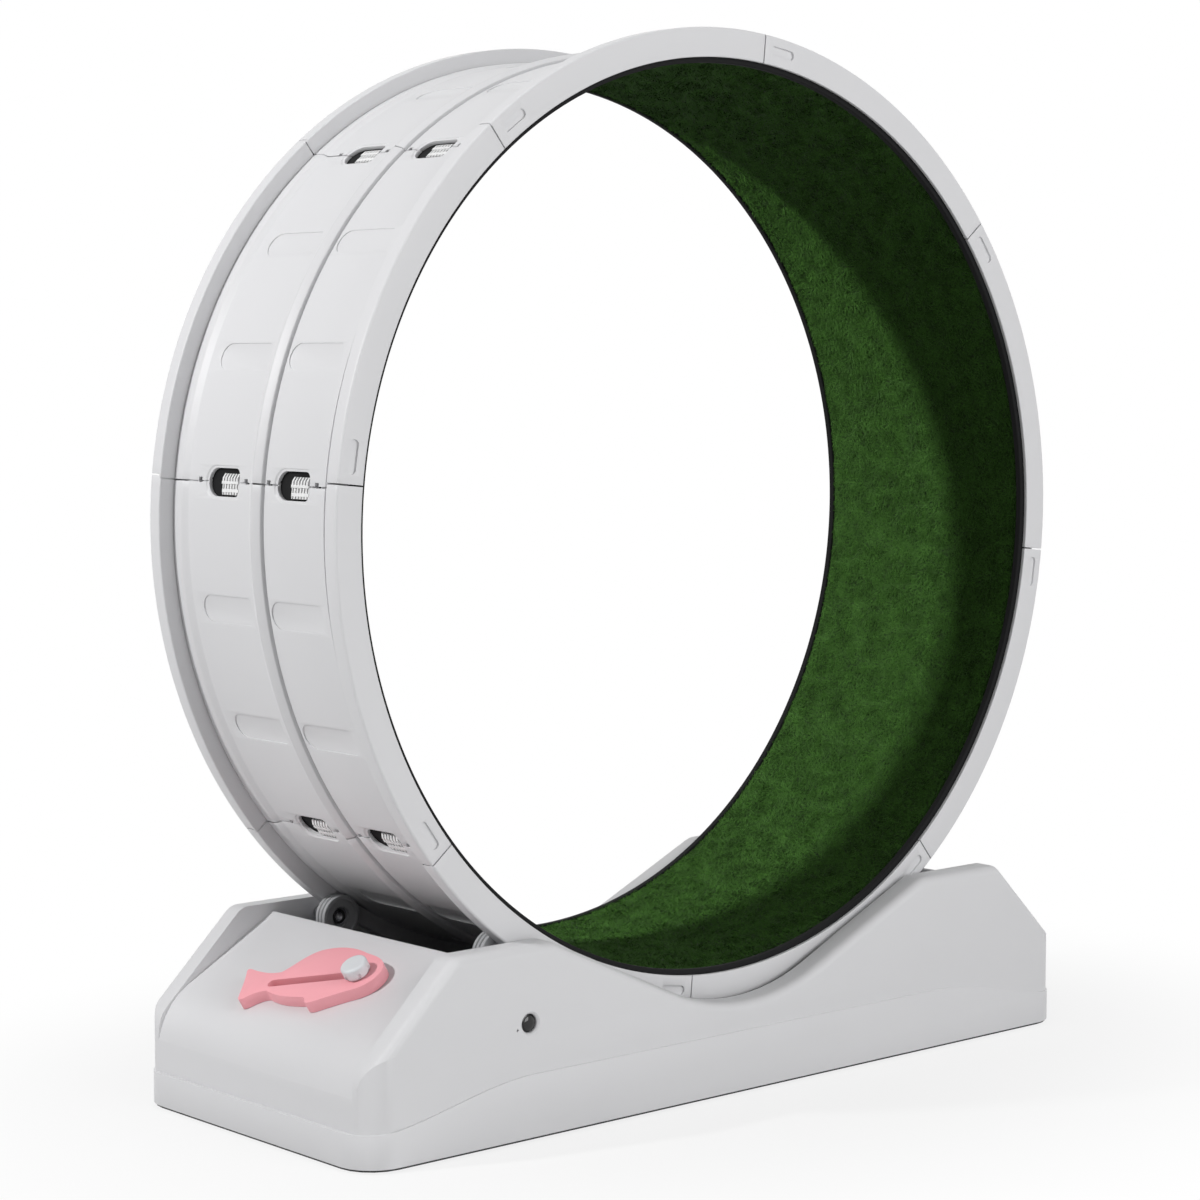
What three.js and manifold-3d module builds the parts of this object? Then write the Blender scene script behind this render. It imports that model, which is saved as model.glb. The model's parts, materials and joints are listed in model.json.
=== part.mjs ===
// Pet exercise wheel: a running wheel of eight moulded segments, lined with turf,
// turning on four rollers in a trough-shaped base, with a fish-shaped brake on the base.
// Millimetres, +Z up. The wheel turns about Y, the base is long in X, and the floor is Z = 0.
import * as THREE from 'three';
import { mergeVertices } from 'three/addons/utils/BufferGeometryUtils.js';
import Module from 'manifold-3d';

const wasm = await Module();
wasm.setup();

// ---------- driving dimensions ----------
const clearance = 0.3;            // gap kept between pieces that touch

// wheel
const wheelRadius = 400;          // outside of the side flanges
const wheelWidth = 248;           // over both flanges
const segmentCount = 8;
const facetsPerSegment = 6;       // flats that each segment's arc is drawn with
const wheelClock = 39.5;          // angle of one joint line, from +X towards +Z
const flangeHeight = 16;          // flanges stand out from the flat panels by this much
const panelWall = 4;              // thickness of the panels
const flangeWidth = 14;
const flangeWall = 3.4;           // skin of the hollow flange
const flangeChamfer = 1.5;
const lipHeight = 4;              // inward lip that holds the mat
const trackHeight = 3;            // raised running track above the panels
const trackWidth = 16;
const trackSlope = 2;             // run-out of the track's step
const ridgeHeight = 5;            // centre ridge above the panels
const ridgeHalfWidth = 9;
const jointStep = 3;              // how far the flange joints are offset round the rim

// windows, clips and shallow recesses of the segments
const windowLength = 42;          // along Y
const windowHeight = 25;          // round the rim
const windowOffset = 46;          // centre of a window from the ridge
const windowSquareCorner = 5;     // radius of its front corners
const clipLength = 20;
const clipTeeth = 4;
const clipDepth = 3.4;            // radial thickness of a clip under its teeth
const toothHeight = 2;
const padLength = 66;             // shallow recessed pads of the panels
const padHeight = 22;
const padDepth = 0.9;
const flangeSlotLength = 27;
const flangeSlotWidth = 9.6;
const flangeSlotDepth = 1.2;
const flangeSlotOffset = 21.5;    // slot centre from the joint, round the rim

// lining: a backing with a raised binding along both edges, and the turf between them
const backingThickness = 4;
const turfThickness = 7.4;
const bindingWidth = 5.5;

// base
const baseLength = 796;           // at the floor
const wheelSideGap = 6;           // from a flange to the wall beside it
const wallPeak = 155;             // top of the side walls
const wallPeakInner = 64;         // from the trough's end inwards to where the top starts
const wallPeakOuter = 35;         // from the trough's end outwards to where the top ends
const peakRadiusInner = 25;
const peakRadiusOuter = 18;
const dipHeight = 58.5;           // where the two dipping lines of a wall would cross
const dipRadius = 197;
const bendHeight = 74.7;          // where the end slope of a wall meets the end face
const bendRadius = 30;
const endDraft = 4.5;             // lean of the end faces up to the bend
const wallThickness = 23;         // hollow side walls, outside to inside
const skin = 3;                   // moulded wall thickness
const cornerRadius = 32;          // upright corners
const edgeRadius = 8;             // long outer edges
const bandProud = 1.2;            // lower band stands out by this much
const bandLow = 29.5;             // height of the band at the ends
const bandHigh = 53;              // height of the band in the middle
const bandRiseStart = 232;        // from the middle, where the band starts to fall
const bandRiseEnd = 4;            // from the end, where it has fallen
const troughFloor = 38;           // upper face of the trough's floor
const troughCorner = 6;
const rollerRoom = 43.2417;       // from a roller's axle to the trough's end
const slopeAngle = 31;            // sloped end decks
const deckTop = 148;              // height of a deck at its upper edge
const deckLip = 3;                // from the trough's end to that edge
const deckLipRadius = 4;
const deckBendRadius = 58;
const ribThickness = 2.4;
const wallRibs = [75, 190, 320];  // either side of the one in the middle of a wall
const deckRibs = [-60, 0, 60];    // across each deck
const screwBoss = 5.5;            // radius of the bosses for the bottom screws
const screwBore = 1.7;
const screwDepth = 16;
const screwEdge = 11.5;           // of the wall screws, from the side
const screwEnd = 33;              // of the corner screws, from the end
const screwSide = 41;             // of the corner screws, from the side
const wallScrew = 150;            // of the wall screws, from the middle
const padFloor = 1.2;             // thickness of the rubber feet
const plateThickness = 1.5;
const plateInset = 1.5;
const footRadius = 14;
const footEnd = 48;               // of the corner feet, from the end
const footSide = 43;              // of the corner feet, from the side
const middleFootSide = 28;        // of the middle feet, from the side
const wheelLift = 72.7;           // lowest point of the wheel above the floor

// rollers
const rollerWidth = 12.5;
const rollerAngle = 35;           // either side of straight down
const rollerSideGap = 0.8;        // to the flange
const grooveDepth = 1.1;
const grooveWidth = 1.2;
const bearingRadius = 10.6;
const bearingWidth = 7;
const bearingBore = 4.2;
const hubMouth = 8.6;
const axleRadius = 4;
const axleShoulder = 5.2;
const axleGap = 0.6;              // from an axle's shoulder to the flange above it
const axleSeat = 17;              // depth of an axle in its wall
const axleBoss = 9;
const retainerRadius = 6;
const retainerThickness = 1.6;

// brake
const brakeDown = 53;             // stud below the deck's upper edge, along the slope
const brakeSide = -55;            // stud across the deck
const brakeTurn = -68.5;          // heading of the fish, from up the slope towards +Y
const fishLength = 141;           // from the nose to the tips of the tail
const fishThickness = 10;
const slotLength = 84;
const slotWidth = 8.4;
const studRadius = 3;
const studHead = 7;
const studHeadHeight = 3;
const bushLength = 15;
const washerRadius = 9.5;
const washerThickness = 1.2;
const knobRadius = 11;
const knobHeight = 9.5;
const knobNotches = 6;

// side plug
const plugX = -237;
const plugZ = 93;
const plugRadius = 6.2;
const plugSeat = 7.4;             // radius of the hole in the wall
const plugRecess = 1.6;
const plugLength = 10;

// ---------- derived sizes ----------
const degree = Math.PI / 180;
const halfWidth = wheelWidth / 2;
const panelRadius = wheelRadius - flangeHeight;
const axleHeight = wheelRadius + wheelLift;
const shellRadius = panelRadius - panelWall;
const lipRadius = shellRadius - lipHeight;
const flangeInside = halfWidth - flangeWidth;
const trackRadius = panelRadius + trackHeight;
const trackEdge = flangeInside - trackWidth;
const ridgeRadius = panelRadius + ridgeHeight;
const segmentAngle = 360 / segmentCount;
const wallInner = halfWidth + wheelSideGap;
const wallOuter = wallInner + wallThickness;
const halfLength = baseLength / 2;
const plateBottom = padFloor + clearance;
const shellBottom = plateBottom + plateThickness + clearance;
const rollerReach = wheelRadius + axleGap + axleShoulder;
const rollerRadius = rollerReach - clearance - trackRadius;
const rollerX = rollerReach * Math.sin(rollerAngle * degree);
const rollerZ = axleHeight - rollerReach * Math.cos(rollerAngle * degree);
const rollerBack = flangeInside - rollerSideGap;
const rollerFront = rollerBack - rollerWidth;
const troughHalfLength = rollerX + rollerRoom;
const deckEdge = troughHalfLength + deckLip;

// ---------- solids ----------
const mergeDistance = 1e-3;       // vertices closer than this are one

function toSolid(geometry) {
  const bare = geometry.index ? geometry.toNonIndexed() : geometry.clone();
  bare.deleteAttribute('normal');
  bare.deleteAttribute('uv');
  const merged = mergeVertices(bare, mergeDistance);
  const vertProperties = new Float32Array(merged.attributes.position.array);
  const triVerts = new Uint32Array(merged.index.array);
  if (signedVolume(vertProperties, triVerts) < 0) {
    for (let i = 0; i < triVerts.length; i += 3) {
      [triVerts[i], triVerts[i + 1]] = [triVerts[i + 1], triVerts[i]];
    }
  }
  return new wasm.Manifold(new wasm.Mesh({ numProp: 3, vertProperties, triVerts }));
}

function signedVolume(points, triangles) {
  let sum = 0;
  const corner = [new THREE.Vector3(), new THREE.Vector3(), new THREE.Vector3()];
  for (let i = 0; i < triangles.length; i += 3) {
    for (let k = 0; k < 3; k += 1) corner[k].fromArray(points, triangles[i + k] * 3);
    sum += corner[0].dot(corner[1].clone().cross(corner[2]));
  }
  return sum / 6;
}

function toGeometry(solid) {
  const mesh = solid.getMesh();
  const geometry = new THREE.BufferGeometry();
  geometry.setAttribute('position', new THREE.BufferAttribute(new Float32Array(mesh.vertProperties), 3));
  geometry.setIndex(new THREE.BufferAttribute(new Uint32Array(mesh.triVerts), 1));
  geometry.computeVertexNormals();
  return geometry;
}

// the main body of a cut piece, without the flakes that faces in one plane can leave
function mainBody(solid) {
  const cleaned = toSolid(toGeometry(solid));
  return cleaned.decompose().reduce((a, b) => (b.volume() > a.volume() ? b : a));
}

function unionOf(solids) {
  return solids.reduce((sum, solid) => sum.add(solid));
}

function place(geometry, x, y, z) {
  return geometry.translate(x, y, z);
}

function box(x0, x1, y0, y1, z0, z1) {
  const geometry = new THREE.BoxGeometry(x1 - x0, y1 - y0, z1 - z0);
  return toSolid(place(geometry, (x0 + x1) / 2, (y0 + y1) / 2, (z0 + z1) / 2));
}

// a turned piece: profile of [radius, height] points that closes on itself or on the axis
function turned(profile, segments) {
  const points = profile.map(([r, h]) => new THREE.Vector2(r, h));
  if (profile[0][0] > 0) points.push(points[0].clone());
  return new THREE.LatheGeometry(points, segments);
}

// cylinder along Y between two planes
function pinY(x, z, radius, y0, y1, segments) {
  const geometry = new THREE.CylinderGeometry(radius, radius, y1 - y0, segments);
  return toSolid(place(geometry, x, (y0 + y1) / 2, z));
}

// cylinder along Z between two planes
function pinZ(x, y, radius, z0, z1, segments) {
  const geometry = new THREE.CylinderGeometry(radius, radius, z1 - z0, segments);
  geometry.rotateX(Math.PI / 2);
  return toSolid(place(geometry, x, y, (z0 + z1) / 2));
}

// outline in X and Z, drawn out along Y between two planes, with an optional rounded edge
function drawnAlongY(points, y0, y1, round = 0) {
  const shape = new THREE.Shape(points);
  const settings = { depth: y1 - y0 - 2 * round, bevelEnabled: round > 0 };
  Object.assign(settings, { bevelSize: round, bevelThickness: round, bevelOffset: -round });
  settings.bevelSegments = 2;
  const geometry = new THREE.ExtrudeGeometry(shape, settings);
  geometry.rotateX(Math.PI / 2);
  return toSolid(place(geometry, 0, y1 - round, 0));
}

// outline in X and Y, drawn up along Z between two planes
function drawnAlongZ(points, z0, z1, holes = []) {
  const shape = new THREE.Shape(points);
  shape.holes = holes.map((hole) => new THREE.Path(hole));
  const geometry = new THREE.ExtrudeGeometry(shape, { depth: z1 - z0, bevelEnabled: false });
  return toSolid(place(geometry, 0, 0, z0));
}

// ---------- outlines ----------
// polygon corners { x, y, r }, anticlockwise, moved inwards by inset and rounded by arcs
function roundedOutline(corners, inset = 0, arcStep = 15) {
  const count = corners.length;
  const lines = corners.map((corner, i) => {
    const next = corners[(i + 1) % count];
    const along = new THREE.Vector2(next.x - corner.x, next.y - corner.y).normalize();
    const inward = new THREE.Vector2(-along.y, along.x);
    const start = new THREE.Vector2(corner.x, corner.y).addScaledVector(inward, inset);
    return { start, along, inward };
  });
  const points = [];
  for (let i = 0; i < count; i += 1) {
    const before = lines[(i + count - 1) % count];
    const after = lines[i];
    const turn = before.along.cross(after.along);
    const offset = after.start.clone().sub(before.start);
    const corner = before.start.clone().addScaledVector(before.along, offset.cross(after.along) / turn);
    const radius = corners[i].r ? corners[i].r - Math.sign(turn) * inset : 0;
    if (radius <= 0) points.push(corner);
    else points.push(...cornerArc(corner, before, after, radius, turn, arcStep));
  }
  return points;
}

function cornerArc(corner, before, after, radius, turn, arcStep) {
  const angle = Math.atan2(turn, before.along.dot(after.along));
  const reach = radius * Math.tan(Math.abs(angle) / 2);
  const side = Math.sign(turn);
  const start = corner.clone().addScaledVector(before.along, -reach);
  const centre = start.clone().addScaledVector(before.inward, side * radius);
  const steps = Math.ceil(Math.abs(angle) / (arcStep * degree) - 0.01);
  const spoke = start.clone().sub(centre);
  const arc = [];
  for (let i = 0; i <= steps; i += 1) {
    arc.push(spoke.clone().rotateAround(new THREE.Vector2(), (angle * i) / steps).add(centre));
  }
  return arc;
}

function rectangleCorners(halfX, halfY, radius) {
  const quarters = [[-1, -1], [1, -1], [1, 1], [-1, 1]];
  return quarters.map(([sx, sy]) => ({ x: sx * halfX, y: sy * halfY, r: radius }));
}

// pill of the given length and height, round at +Y and with small corner radius at -Y
function pillCorners(length, height, squareCorner) {
  const tip = height / 2 - 0.01;
  return [
    { x: -height / 2, y: -length / 2, r: squareCorner },
    { x: height / 2, y: -length / 2, r: squareCorner },
    { x: height / 2, y: length / 2, r: tip },
    { x: -height / 2, y: length / 2, r: tip },
  ];
}

function mirroredInX(corners) {
  return corners.slice().reverse().map(({ x, y, r }) => ({ x: -x, y, r }));
}

// ---------- wheel ----------
// half of the rim's section as [radius, y], outside then inside, for y > 0
function rimSection() {
  const crest = [
    [ridgeRadius, ridgeHalfWidth * 0.4],
    [panelRadius, ridgeHalfWidth],
  ];
  const outside = [
    ...crest,
    [panelRadius, trackEdge],
    [trackRadius, trackEdge + trackSlope],
    [trackRadius, flangeInside],
    [wheelRadius, flangeInside],
    [wheelRadius, halfWidth - flangeChamfer],
    [wheelRadius - flangeChamfer, halfWidth],
  ];
  const inside = [
    [lipRadius, halfWidth],
    [lipRadius, halfWidth - flangeWall],
    [wheelRadius - flangeWall, halfWidth - flangeWall],
    [wheelRadius - flangeWall, flangeInside + flangeWall],
    [shellRadius, flangeInside + flangeWall],
  ];
  const half = [...outside, ...inside];
  const other = half.slice().reverse().map(([r, y]) => [r, -y]);
  return [...half, ...other];
}

// a slice of the rim between two angles and two planes
function rimSlice(fromAngle, toAngle, y0, y1) {
  const reach = wheelRadius * 1.3;
  const points = [new THREE.Vector2(0, 0)];
  for (const angle of [fromAngle, (fromAngle + toAngle) / 2, toAngle]) {
    points.push(new THREE.Vector2(reach * Math.cos(angle * degree), reach * Math.sin(angle * degree)));
  }
  return drawnAlongY(points, y0, y1);
}

// an upright cutter that stands on the rim at an angle, outline in (round the rim, along Y)
function radialCutter(corners, angle, y, from, to) {
  const points = roundedOutline(corners, 0, 45);
  const shape = new THREE.Shape(points);
  const geometry = new THREE.ExtrudeGeometry(shape, { depth: to - from, bevelEnabled: false });
  // local X runs round the rim, local Y along the axle and local Z outwards
  geometry.translate(0, y, from);
  geometry.rotateY(Math.PI / 2);
  geometry.rotateY(-angle * degree);
  return toSolid(geometry);
}

function makeSegment() {
  const ring = toSolid(turned(rimSection(), segmentCount * facetsPerSegment));
  const half = segmentAngle / 2;
  const gapAngle = clearance / 2 / wheelRadius / degree;
  const stepAngle = jointStep / wheelRadius / degree;
  const low = -half + gapAngle;
  const high = half - gapAngle;
  const lap = stepAngle / 4;
  const inner = flangeInside + flangeWall / 2 - clearance / 2;
  const outer = inner + clearance;
  const slices = [
    rimSlice(low, high - stepAngle, -halfWidth - 1, halfWidth + 1),
    rimSlice(high - stepAngle - lap, high, -inner, inner),
    rimSlice(low - stepAngle, low + lap, outer, halfWidth + 1),
    rimSlice(low - stepAngle, low + lap, -halfWidth - 1, -outer),
  ];
  const segment = ring.intersect(unionOf(slices));
  const cuts = [];
  for (const end of [-half, half]) {
    for (const y of [-windowOffset, windowOffset]) {
      const pill = pillCorners(windowLength, windowHeight, windowSquareCorner);
      cuts.push(radialCutter(pill, end, y, shellRadius - 4, ridgeRadius + 4));
    }
  }
  for (const third of [-1, 1]) {
    for (const y of [-windowOffset, windowOffset]) {
      const pad = pillCorners(padLength, padHeight, windowSquareCorner);
      cuts.push(radialCutter(pad, (third * segmentAngle) / 6, y, panelRadius - padDepth, ridgeRadius + 4));
    }
  }
  const slotAngle = half - stepAngle - flangeSlotOffset / wheelRadius / degree;
  for (const side of [-1, 1]) {
    cuts.push(flangeSlot(slotAngle, side));
  }
  return mainBody(segment.subtract(unionOf(cuts)));
}

// shallow slot in the face of a flange; side is -1 for the front
function flangeSlot(angle, side) {
  const corners = rectangleCorners(flangeSlotWidth / 2, flangeSlotLength / 2, flangeSlotWidth / 2 - 0.6);
  const middle = (wheelRadius + lipRadius) / 2;
  const depth = flangeSlotDepth + 2;
  const geometry = new THREE.ExtrudeGeometry(new THREE.Shape(roundedOutline(corners, 0, 90)), {
    depth,
    bevelEnabled: false,
  });
  geometry.rotateX(Math.PI / 2);
  geometry.translate(middle, side > 0 ? halfWidth + 2 : -halfWidth + flangeSlotDepth, 0);
  geometry.rotateY(-angle * degree);
  return toSolid(geometry);
}

// ribbed snap clip that bridges two segments inside a window
function makeClip() {
  const pitch = clipLength / clipTeeth;
  const base = shellRadius + clearance;
  const profile = [[base, 0], [base + clipDepth - toothHeight, 0]];
  for (let i = 0; i < clipTeeth; i += 1) {
    const foot = i * pitch;
    profile.push([base + clipDepth, foot + pitch * 0.3], [base + clipDepth, foot + pitch * 0.7]);
    profile.push([base + clipDepth - toothHeight, foot + pitch * 0.98]);
  }
  profile.push([base, clipLength]);
  const start = -windowLength / 2 + clearance;
  const shape = new THREE.Shape(profile.map(([r, y]) => new THREE.Vector2(r, y + start)));
  const geometry = new THREE.ExtrudeGeometry(shape, { depth: windowHeight, bevelEnabled: false });
  geometry.translate(0, 0, -windowHeight / 2);
  const room = pillCorners(windowLength - 2 * clearance, windowHeight - 2 * clearance,
    windowSquareCorner - clearance);
  return toSolid(geometry).intersect(radialCutter(room, 0, 0, shellRadius - 4, ridgeRadius + 4));
}

// half of a section as [radius, y] for y > 0, turned about Y with its mirror image
function makeMat(half) {
  const other = half.slice().reverse().map(([r, y]) => [r, -y]);
  return toSolid(turned([...half, ...other], segmentCount * facetsPerSegment));
}

// ---------- base ----------
const wallFoot = 40;              // outlines run on below the floor, where they are trimmed
const channelEase = 0.15;         // keeps the deck's bend just clear of the end face's plane
const weld = 0.5;                 // how far ribs and bosses run into the skin

function wallCorners() {
  const half = [
    { x: halfLength, y: -wallFoot },
    { x: halfLength - endDraft, y: bendHeight, r: bendRadius },
    { x: troughHalfLength + wallPeakOuter, y: wallPeak, r: peakRadiusOuter },
    { x: troughHalfLength - wallPeakInner, y: wallPeak, r: peakRadiusInner },
  ];
  return [...half, { x: 0, y: dipHeight, r: dipRadius }, ...mirroredInX(half)];
}

// open space over the trough and the two decks
function channelCorners() {
  const slope = Math.tan(slopeAngle * degree);
  const lean = endDraft / (bendHeight + wallFoot);
  const endX = halfLength - endDraft - bandProud + channelEase;
  const endZ = deckTop - (endX - deckEdge) * slope;
  const edgeZ = deckTop + (deckEdge - troughHalfLength) * slope;
  const exitDrop = deckBendRadius * 0.7;
  const exitX = endX + exitDrop * lean + 4 * channelEase;
  const half = [
    { x: troughHalfLength, y: troughFloor, r: troughCorner },
    { x: troughHalfLength, y: edgeZ, r: deckLipRadius },
    { x: endX, y: endZ, r: deckBendRadius },
    { x: exitX, y: endZ - exitDrop },
    { x: halfLength + 60, y: endZ - exitDrop },
    { x: halfLength + 60, y: wallPeak + 60 },
  ];
  return [...half, ...mirroredInX(half)];
}

// side view of the lower band, its top an S-curve from the low ends to the high middle
function bandOutline() {
  const steps = 6;
  const half = [new THREE.Vector2(halfLength + 10, -wallFoot), new THREE.Vector2(halfLength + 10, bandLow)];
  for (let i = 0; i <= steps; i += 1) {
    const t = i / steps;
    const x = THREE.MathUtils.lerp(halfLength - bandRiseEnd, bandRiseStart, t);
    const rise = THREE.MathUtils.smoothstep(t, 0, 1);
    half.push(new THREE.Vector2(x, THREE.MathUtils.lerp(bandLow, bandHigh, rise)));
  }
  const other = half.slice().reverse().map(({ x, y }) => new THREE.Vector2(-x, y));
  return [...half, ...other];
}

function planOutline(inset) {
  return roundedOutline(rectangleCorners(halfLength, wallOuter, cornerRadius), inset, 18);
}

function bodyBlock(inset, bottom) {
  const round = inset > bandProud ? 0 : edgeRadius;
  const outline = roundedOutline(wallCorners(), inset, inset > bandProud ? 24 : 15);
  const walls = drawnAlongY(outline, -wallOuter + inset, wallOuter - inset, round);
  return walls.intersect(drawnAlongZ(planOutline(inset), bottom, wallPeak + 20));
}

function channelBlock(grow) {
  const outline = roundedOutline(channelCorners(), -grow, grow > 0 ? 30 : 15);
  return drawnAlongY(outline, -wallInner - grow, wallInner + grow);
}

// the inside of the moulding, at a depth below its outer faces
function hollow(depth) {
  return bodyBlock(depth + bandProud, shellBottom - 20).subtract(channelBlock(depth));
}

// the four corners of a rectangle about the middle
function fourCorners(x, y) {
  return [[-x, -y], [-x, y], [x, -y], [x, y]];
}

const bottomScrews = [...fourCorners(halfLength - screwEnd, wallOuter - screwSide),
  ...fourCorners(wallScrew, wallOuter - screwEdge)];

function makeBaseShell() {
  const channel = channelBlock(0);
  const upper = bodyBlock(bandProud, shellBottom);
  const bandSide = drawnAlongY(bandOutline(), -wallOuter - 5, wallOuter + 5);
  const band = bandSide.intersect(drawnAlongZ(planOutline(0), shellBottom, bandHigh + 20));
  const bandBody = band.intersect(bodyBlock(0, shellBottom));
  const outside = upper.add(bandBody);
  const cavity = hollow(skin);
  let shell = outside.subtract(channel).subtract(cavity);

  const inner = [];
  for (const side of [-1, 1]) {
    for (const x of [0, ...wallRibs, ...wallRibs.map((rib) => -rib)]) {
      const y0 = side > 0 ? wallInner : -wallOuter;
      inner.push(box(x - ribThickness / 2, x + ribThickness / 2, y0, y0 + wallThickness,
        shellBottom + skin, wallPeak));
    }
    for (const y of deckRibs) {
      const x0 = side > 0 ? troughHalfLength : -halfLength;
      inner.push(box(x0, x0 + halfLength - troughHalfLength, y - ribThickness / 2, y + ribThickness / 2,
        shellBottom + skin, wallPeak));
    }
    for (const x of [-rollerX, rollerX]) {
      const y0 = side > 0 ? wallInner : -wallOuter;
      inner.push(pinY(x, rollerZ, axleBoss, y0, y0 + wallThickness, 10));
    }
  }
  for (const [x, y] of bottomScrews) inner.push(pinZ(x, y, screwBoss, shellBottom, wallPeak, 8));
  inner.push(pinY(plugX, plugZ, plugSeat + skin, -wallOuter, -wallInner, 12));
  inner.push(studFrame(pinZ(0, 0, studHead + skin, -skin - 7, 0, 12)));
  shell = shell.add(unionOf(inner).intersect(hollow(skin - weld)));

  const bores = [];
  for (const side of [-1, 1]) {
    for (const x of [-rollerX, rollerX]) {
      const y0 = side > 0 ? wallInner - 1 : -wallInner - axleSeat;
      bores.push(pinY(x, rollerZ, axleRadius + clearance / 2, y0, y0 + axleSeat + 1, 10));
    }
  }
  for (const [x, y] of bottomScrews) {
    bores.push(pinZ(x, y, screwBore, shellBottom - 1, shellBottom + screwDepth, 6));
  }
  const plugEnd = -wallOuter + plugRecess + plugLength + clearance;
  bores.push(pinY(plugX, plugZ, plugSeat, -wallOuter - 1, plugEnd, 16));
  bores.push(studFrame(pinZ(0, 0, studRadius + clearance, -20, 5, 12)));
  bores.push(studFrame(pinZ(0, 0, studHead + clearance, -30, -skin - 3, 6)));
  return mainBody(shell.subtract(unionOf(bores)));
}

function makeBottomPlate() {
  const holes = bottomScrews.map(([x, y]) => circleAt(x, y, screwBore + 0.4, 6));
  return drawnAlongZ(planOutline(plateInset), plateBottom, plateBottom + plateThickness, holes);
}

function circleAt(x, y, radius, segments) {
  const points = [];
  for (let i = 0; i < segments; i += 1) {
    const angle = (-2 * Math.PI * i) / segments;
    points.push(new THREE.Vector2(x + radius * Math.cos(angle), y + radius * Math.sin(angle)));
  }
  return points;
}

function makePlug() {
  const face = -wallOuter + plugRecess;
  const dome = 1.8;
  const profile = [
    [0, face + plugLength],
    [plugRadius + 0.8, face + plugLength],
    [plugRadius + 0.8, face + dome + 0.4],
    [plugRadius, face + dome],
    [plugRadius * 0.8, face + dome * 0.35],
    [plugRadius * 0.4, face + dome * 0.06],
    [0, face],
  ];
  return toSolid(place(turned(profile, 14), plugX, 0, plugZ));
}

// ---------- rollers ----------
// turned pieces of a roller, about Y, with the outboard end (towards the wall) at +Y
function tyreProfile() {
  const groove = (centre) => [
    [rollerRadius, centre - grooveWidth / 2],
    [rollerRadius - grooveDepth, centre],
    [rollerRadius, centre + grooveWidth / 2],
  ];
  const chamfer = 0.8;
  return [
    [hubMouth, rollerFront],
    [rollerRadius - chamfer, rollerFront],
    [rollerRadius, rollerFront + chamfer],
    ...groove(rollerFront + rollerWidth / 3),
    ...groove(rollerFront + (2 * rollerWidth) / 3),
    [rollerRadius, rollerBack - chamfer],
    [rollerRadius - chamfer, rollerBack],
    [bearingRadius + clearance, rollerBack],
    [bearingRadius + clearance, rollerBack - bearingWidth - clearance],
    [hubMouth, rollerBack - bearingWidth - clearance],
  ];
}

function bearingProfile() {
  return [
    [bearingBore, rollerBack - bearingWidth],
    [bearingRadius, rollerBack - bearingWidth],
    [bearingRadius, rollerBack],
    [bearingBore, rollerBack],
  ];
}

function axleProfile() {
  const front = rollerBack - bearingWidth - clearance - retainerThickness - clearance - 1;
  return [
    [0, front],
    [axleRadius - 0.6, front],
    [axleRadius, front + 0.6],
    [axleRadius, rollerBack + clearance],
    [axleShoulder, rollerBack + clearance],
    [axleShoulder, wallInner - clearance],
    [axleRadius, wallInner - clearance],
    [axleRadius, wallInner + axleSeat - clearance],
    [0, wallInner + axleSeat - clearance],
  ];
}

function retainerProfile() {
  const back = rollerBack - bearingWidth - clearance;
  const bore = axleRadius + clearance / 2;
  return [
    [bore, back - retainerThickness],
    [retainerRadius, back - retainerThickness],
    [retainerRadius, back],
    [bore, back],
  ];
}

// ---------- brake ----------
const deckSlope = slopeAngle * degree;
const studFoot = new THREE.Vector3(
  -deckEdge - brakeDown * Math.cos(deckSlope), brakeSide, deckTop - brakeDown * Math.sin(deckSlope));

// moves a solid from the brake's frame (X up the slope, Z off the deck) to its place on the base
function studFrame(solid) {
  return solid.rotate([0, -slopeAngle, 0]).translate([studFoot.x, studFoot.y, studFoot.z]);
}

// outline of the fish about the stud, nose towards +X and back towards +Y
function fishOutline() {
  const fish = new THREE.Shape();
  fish.moveTo(-85, -9);
  fish.bezierCurveTo(-74, -16, -62, -20, -42, -22);
  fish.lineTo(-38, -28);
  fish.quadraticCurveTo(-35, -31, -30, -29.5);
  fish.bezierCurveTo(-18, -25, -6, -21, 6, -18);
  fish.bezierCurveTo(18, -13, 23, -3, 20, 7);
  fish.bezierCurveTo(16, 18, 4, 22, -6, 27);
  fish.bezierCurveTo(-22, 37, -40, 40, -54, 37);
  fish.bezierCurveTo(-68, 33, -73, 20, -82, 13.5);
  fish.bezierCurveTo(-94, 12, -106, 17, -117, 22);
  fish.quadraticCurveTo(-121, 23, -120, 19);
  fish.bezierCurveTo(-115, 8, -113, -4, -110, -14);
  fish.quadraticCurveTo(-109, -18, -104, -16);
  fish.bezierCurveTo(-98, -12, -92, -8, -85, -9);
  const drawnLength = 141;
  return fish.getPoints(5).map((point) => point.multiplyScalar(fishLength / drawnLength));
}

function slotOutline(halfWide, from, to) {
  const corners = [
    { x: from, y: -halfWide, r: halfWide - 0.01 },
    { x: to, y: -halfWide, r: halfWide - 0.01 },
    { x: to, y: halfWide, r: halfWide - 0.01 },
    { x: from, y: halfWide, r: halfWide - 0.01 },
  ];
  return roundedOutline(corners, 0, 30);
}

function makeFish() {
  const half = slotWidth / 2;
  const slot = slotOutline(half, -slotLength - half, bushLength / 2 + clearance).reverse();
  return drawnAlongZ(fishOutline(), clearance, clearance + fishThickness, [slot]);
}

function makeBush() {
  const half = slotWidth / 2 - clearance;
  const outline = slotOutline(half, -bushLength / 2, bushLength / 2);
  return drawnAlongZ(outline, clearance, clearance + fishThickness - 0.4,
    [circleAt(0, 0, studRadius + clearance, 12)]);
}

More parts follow.
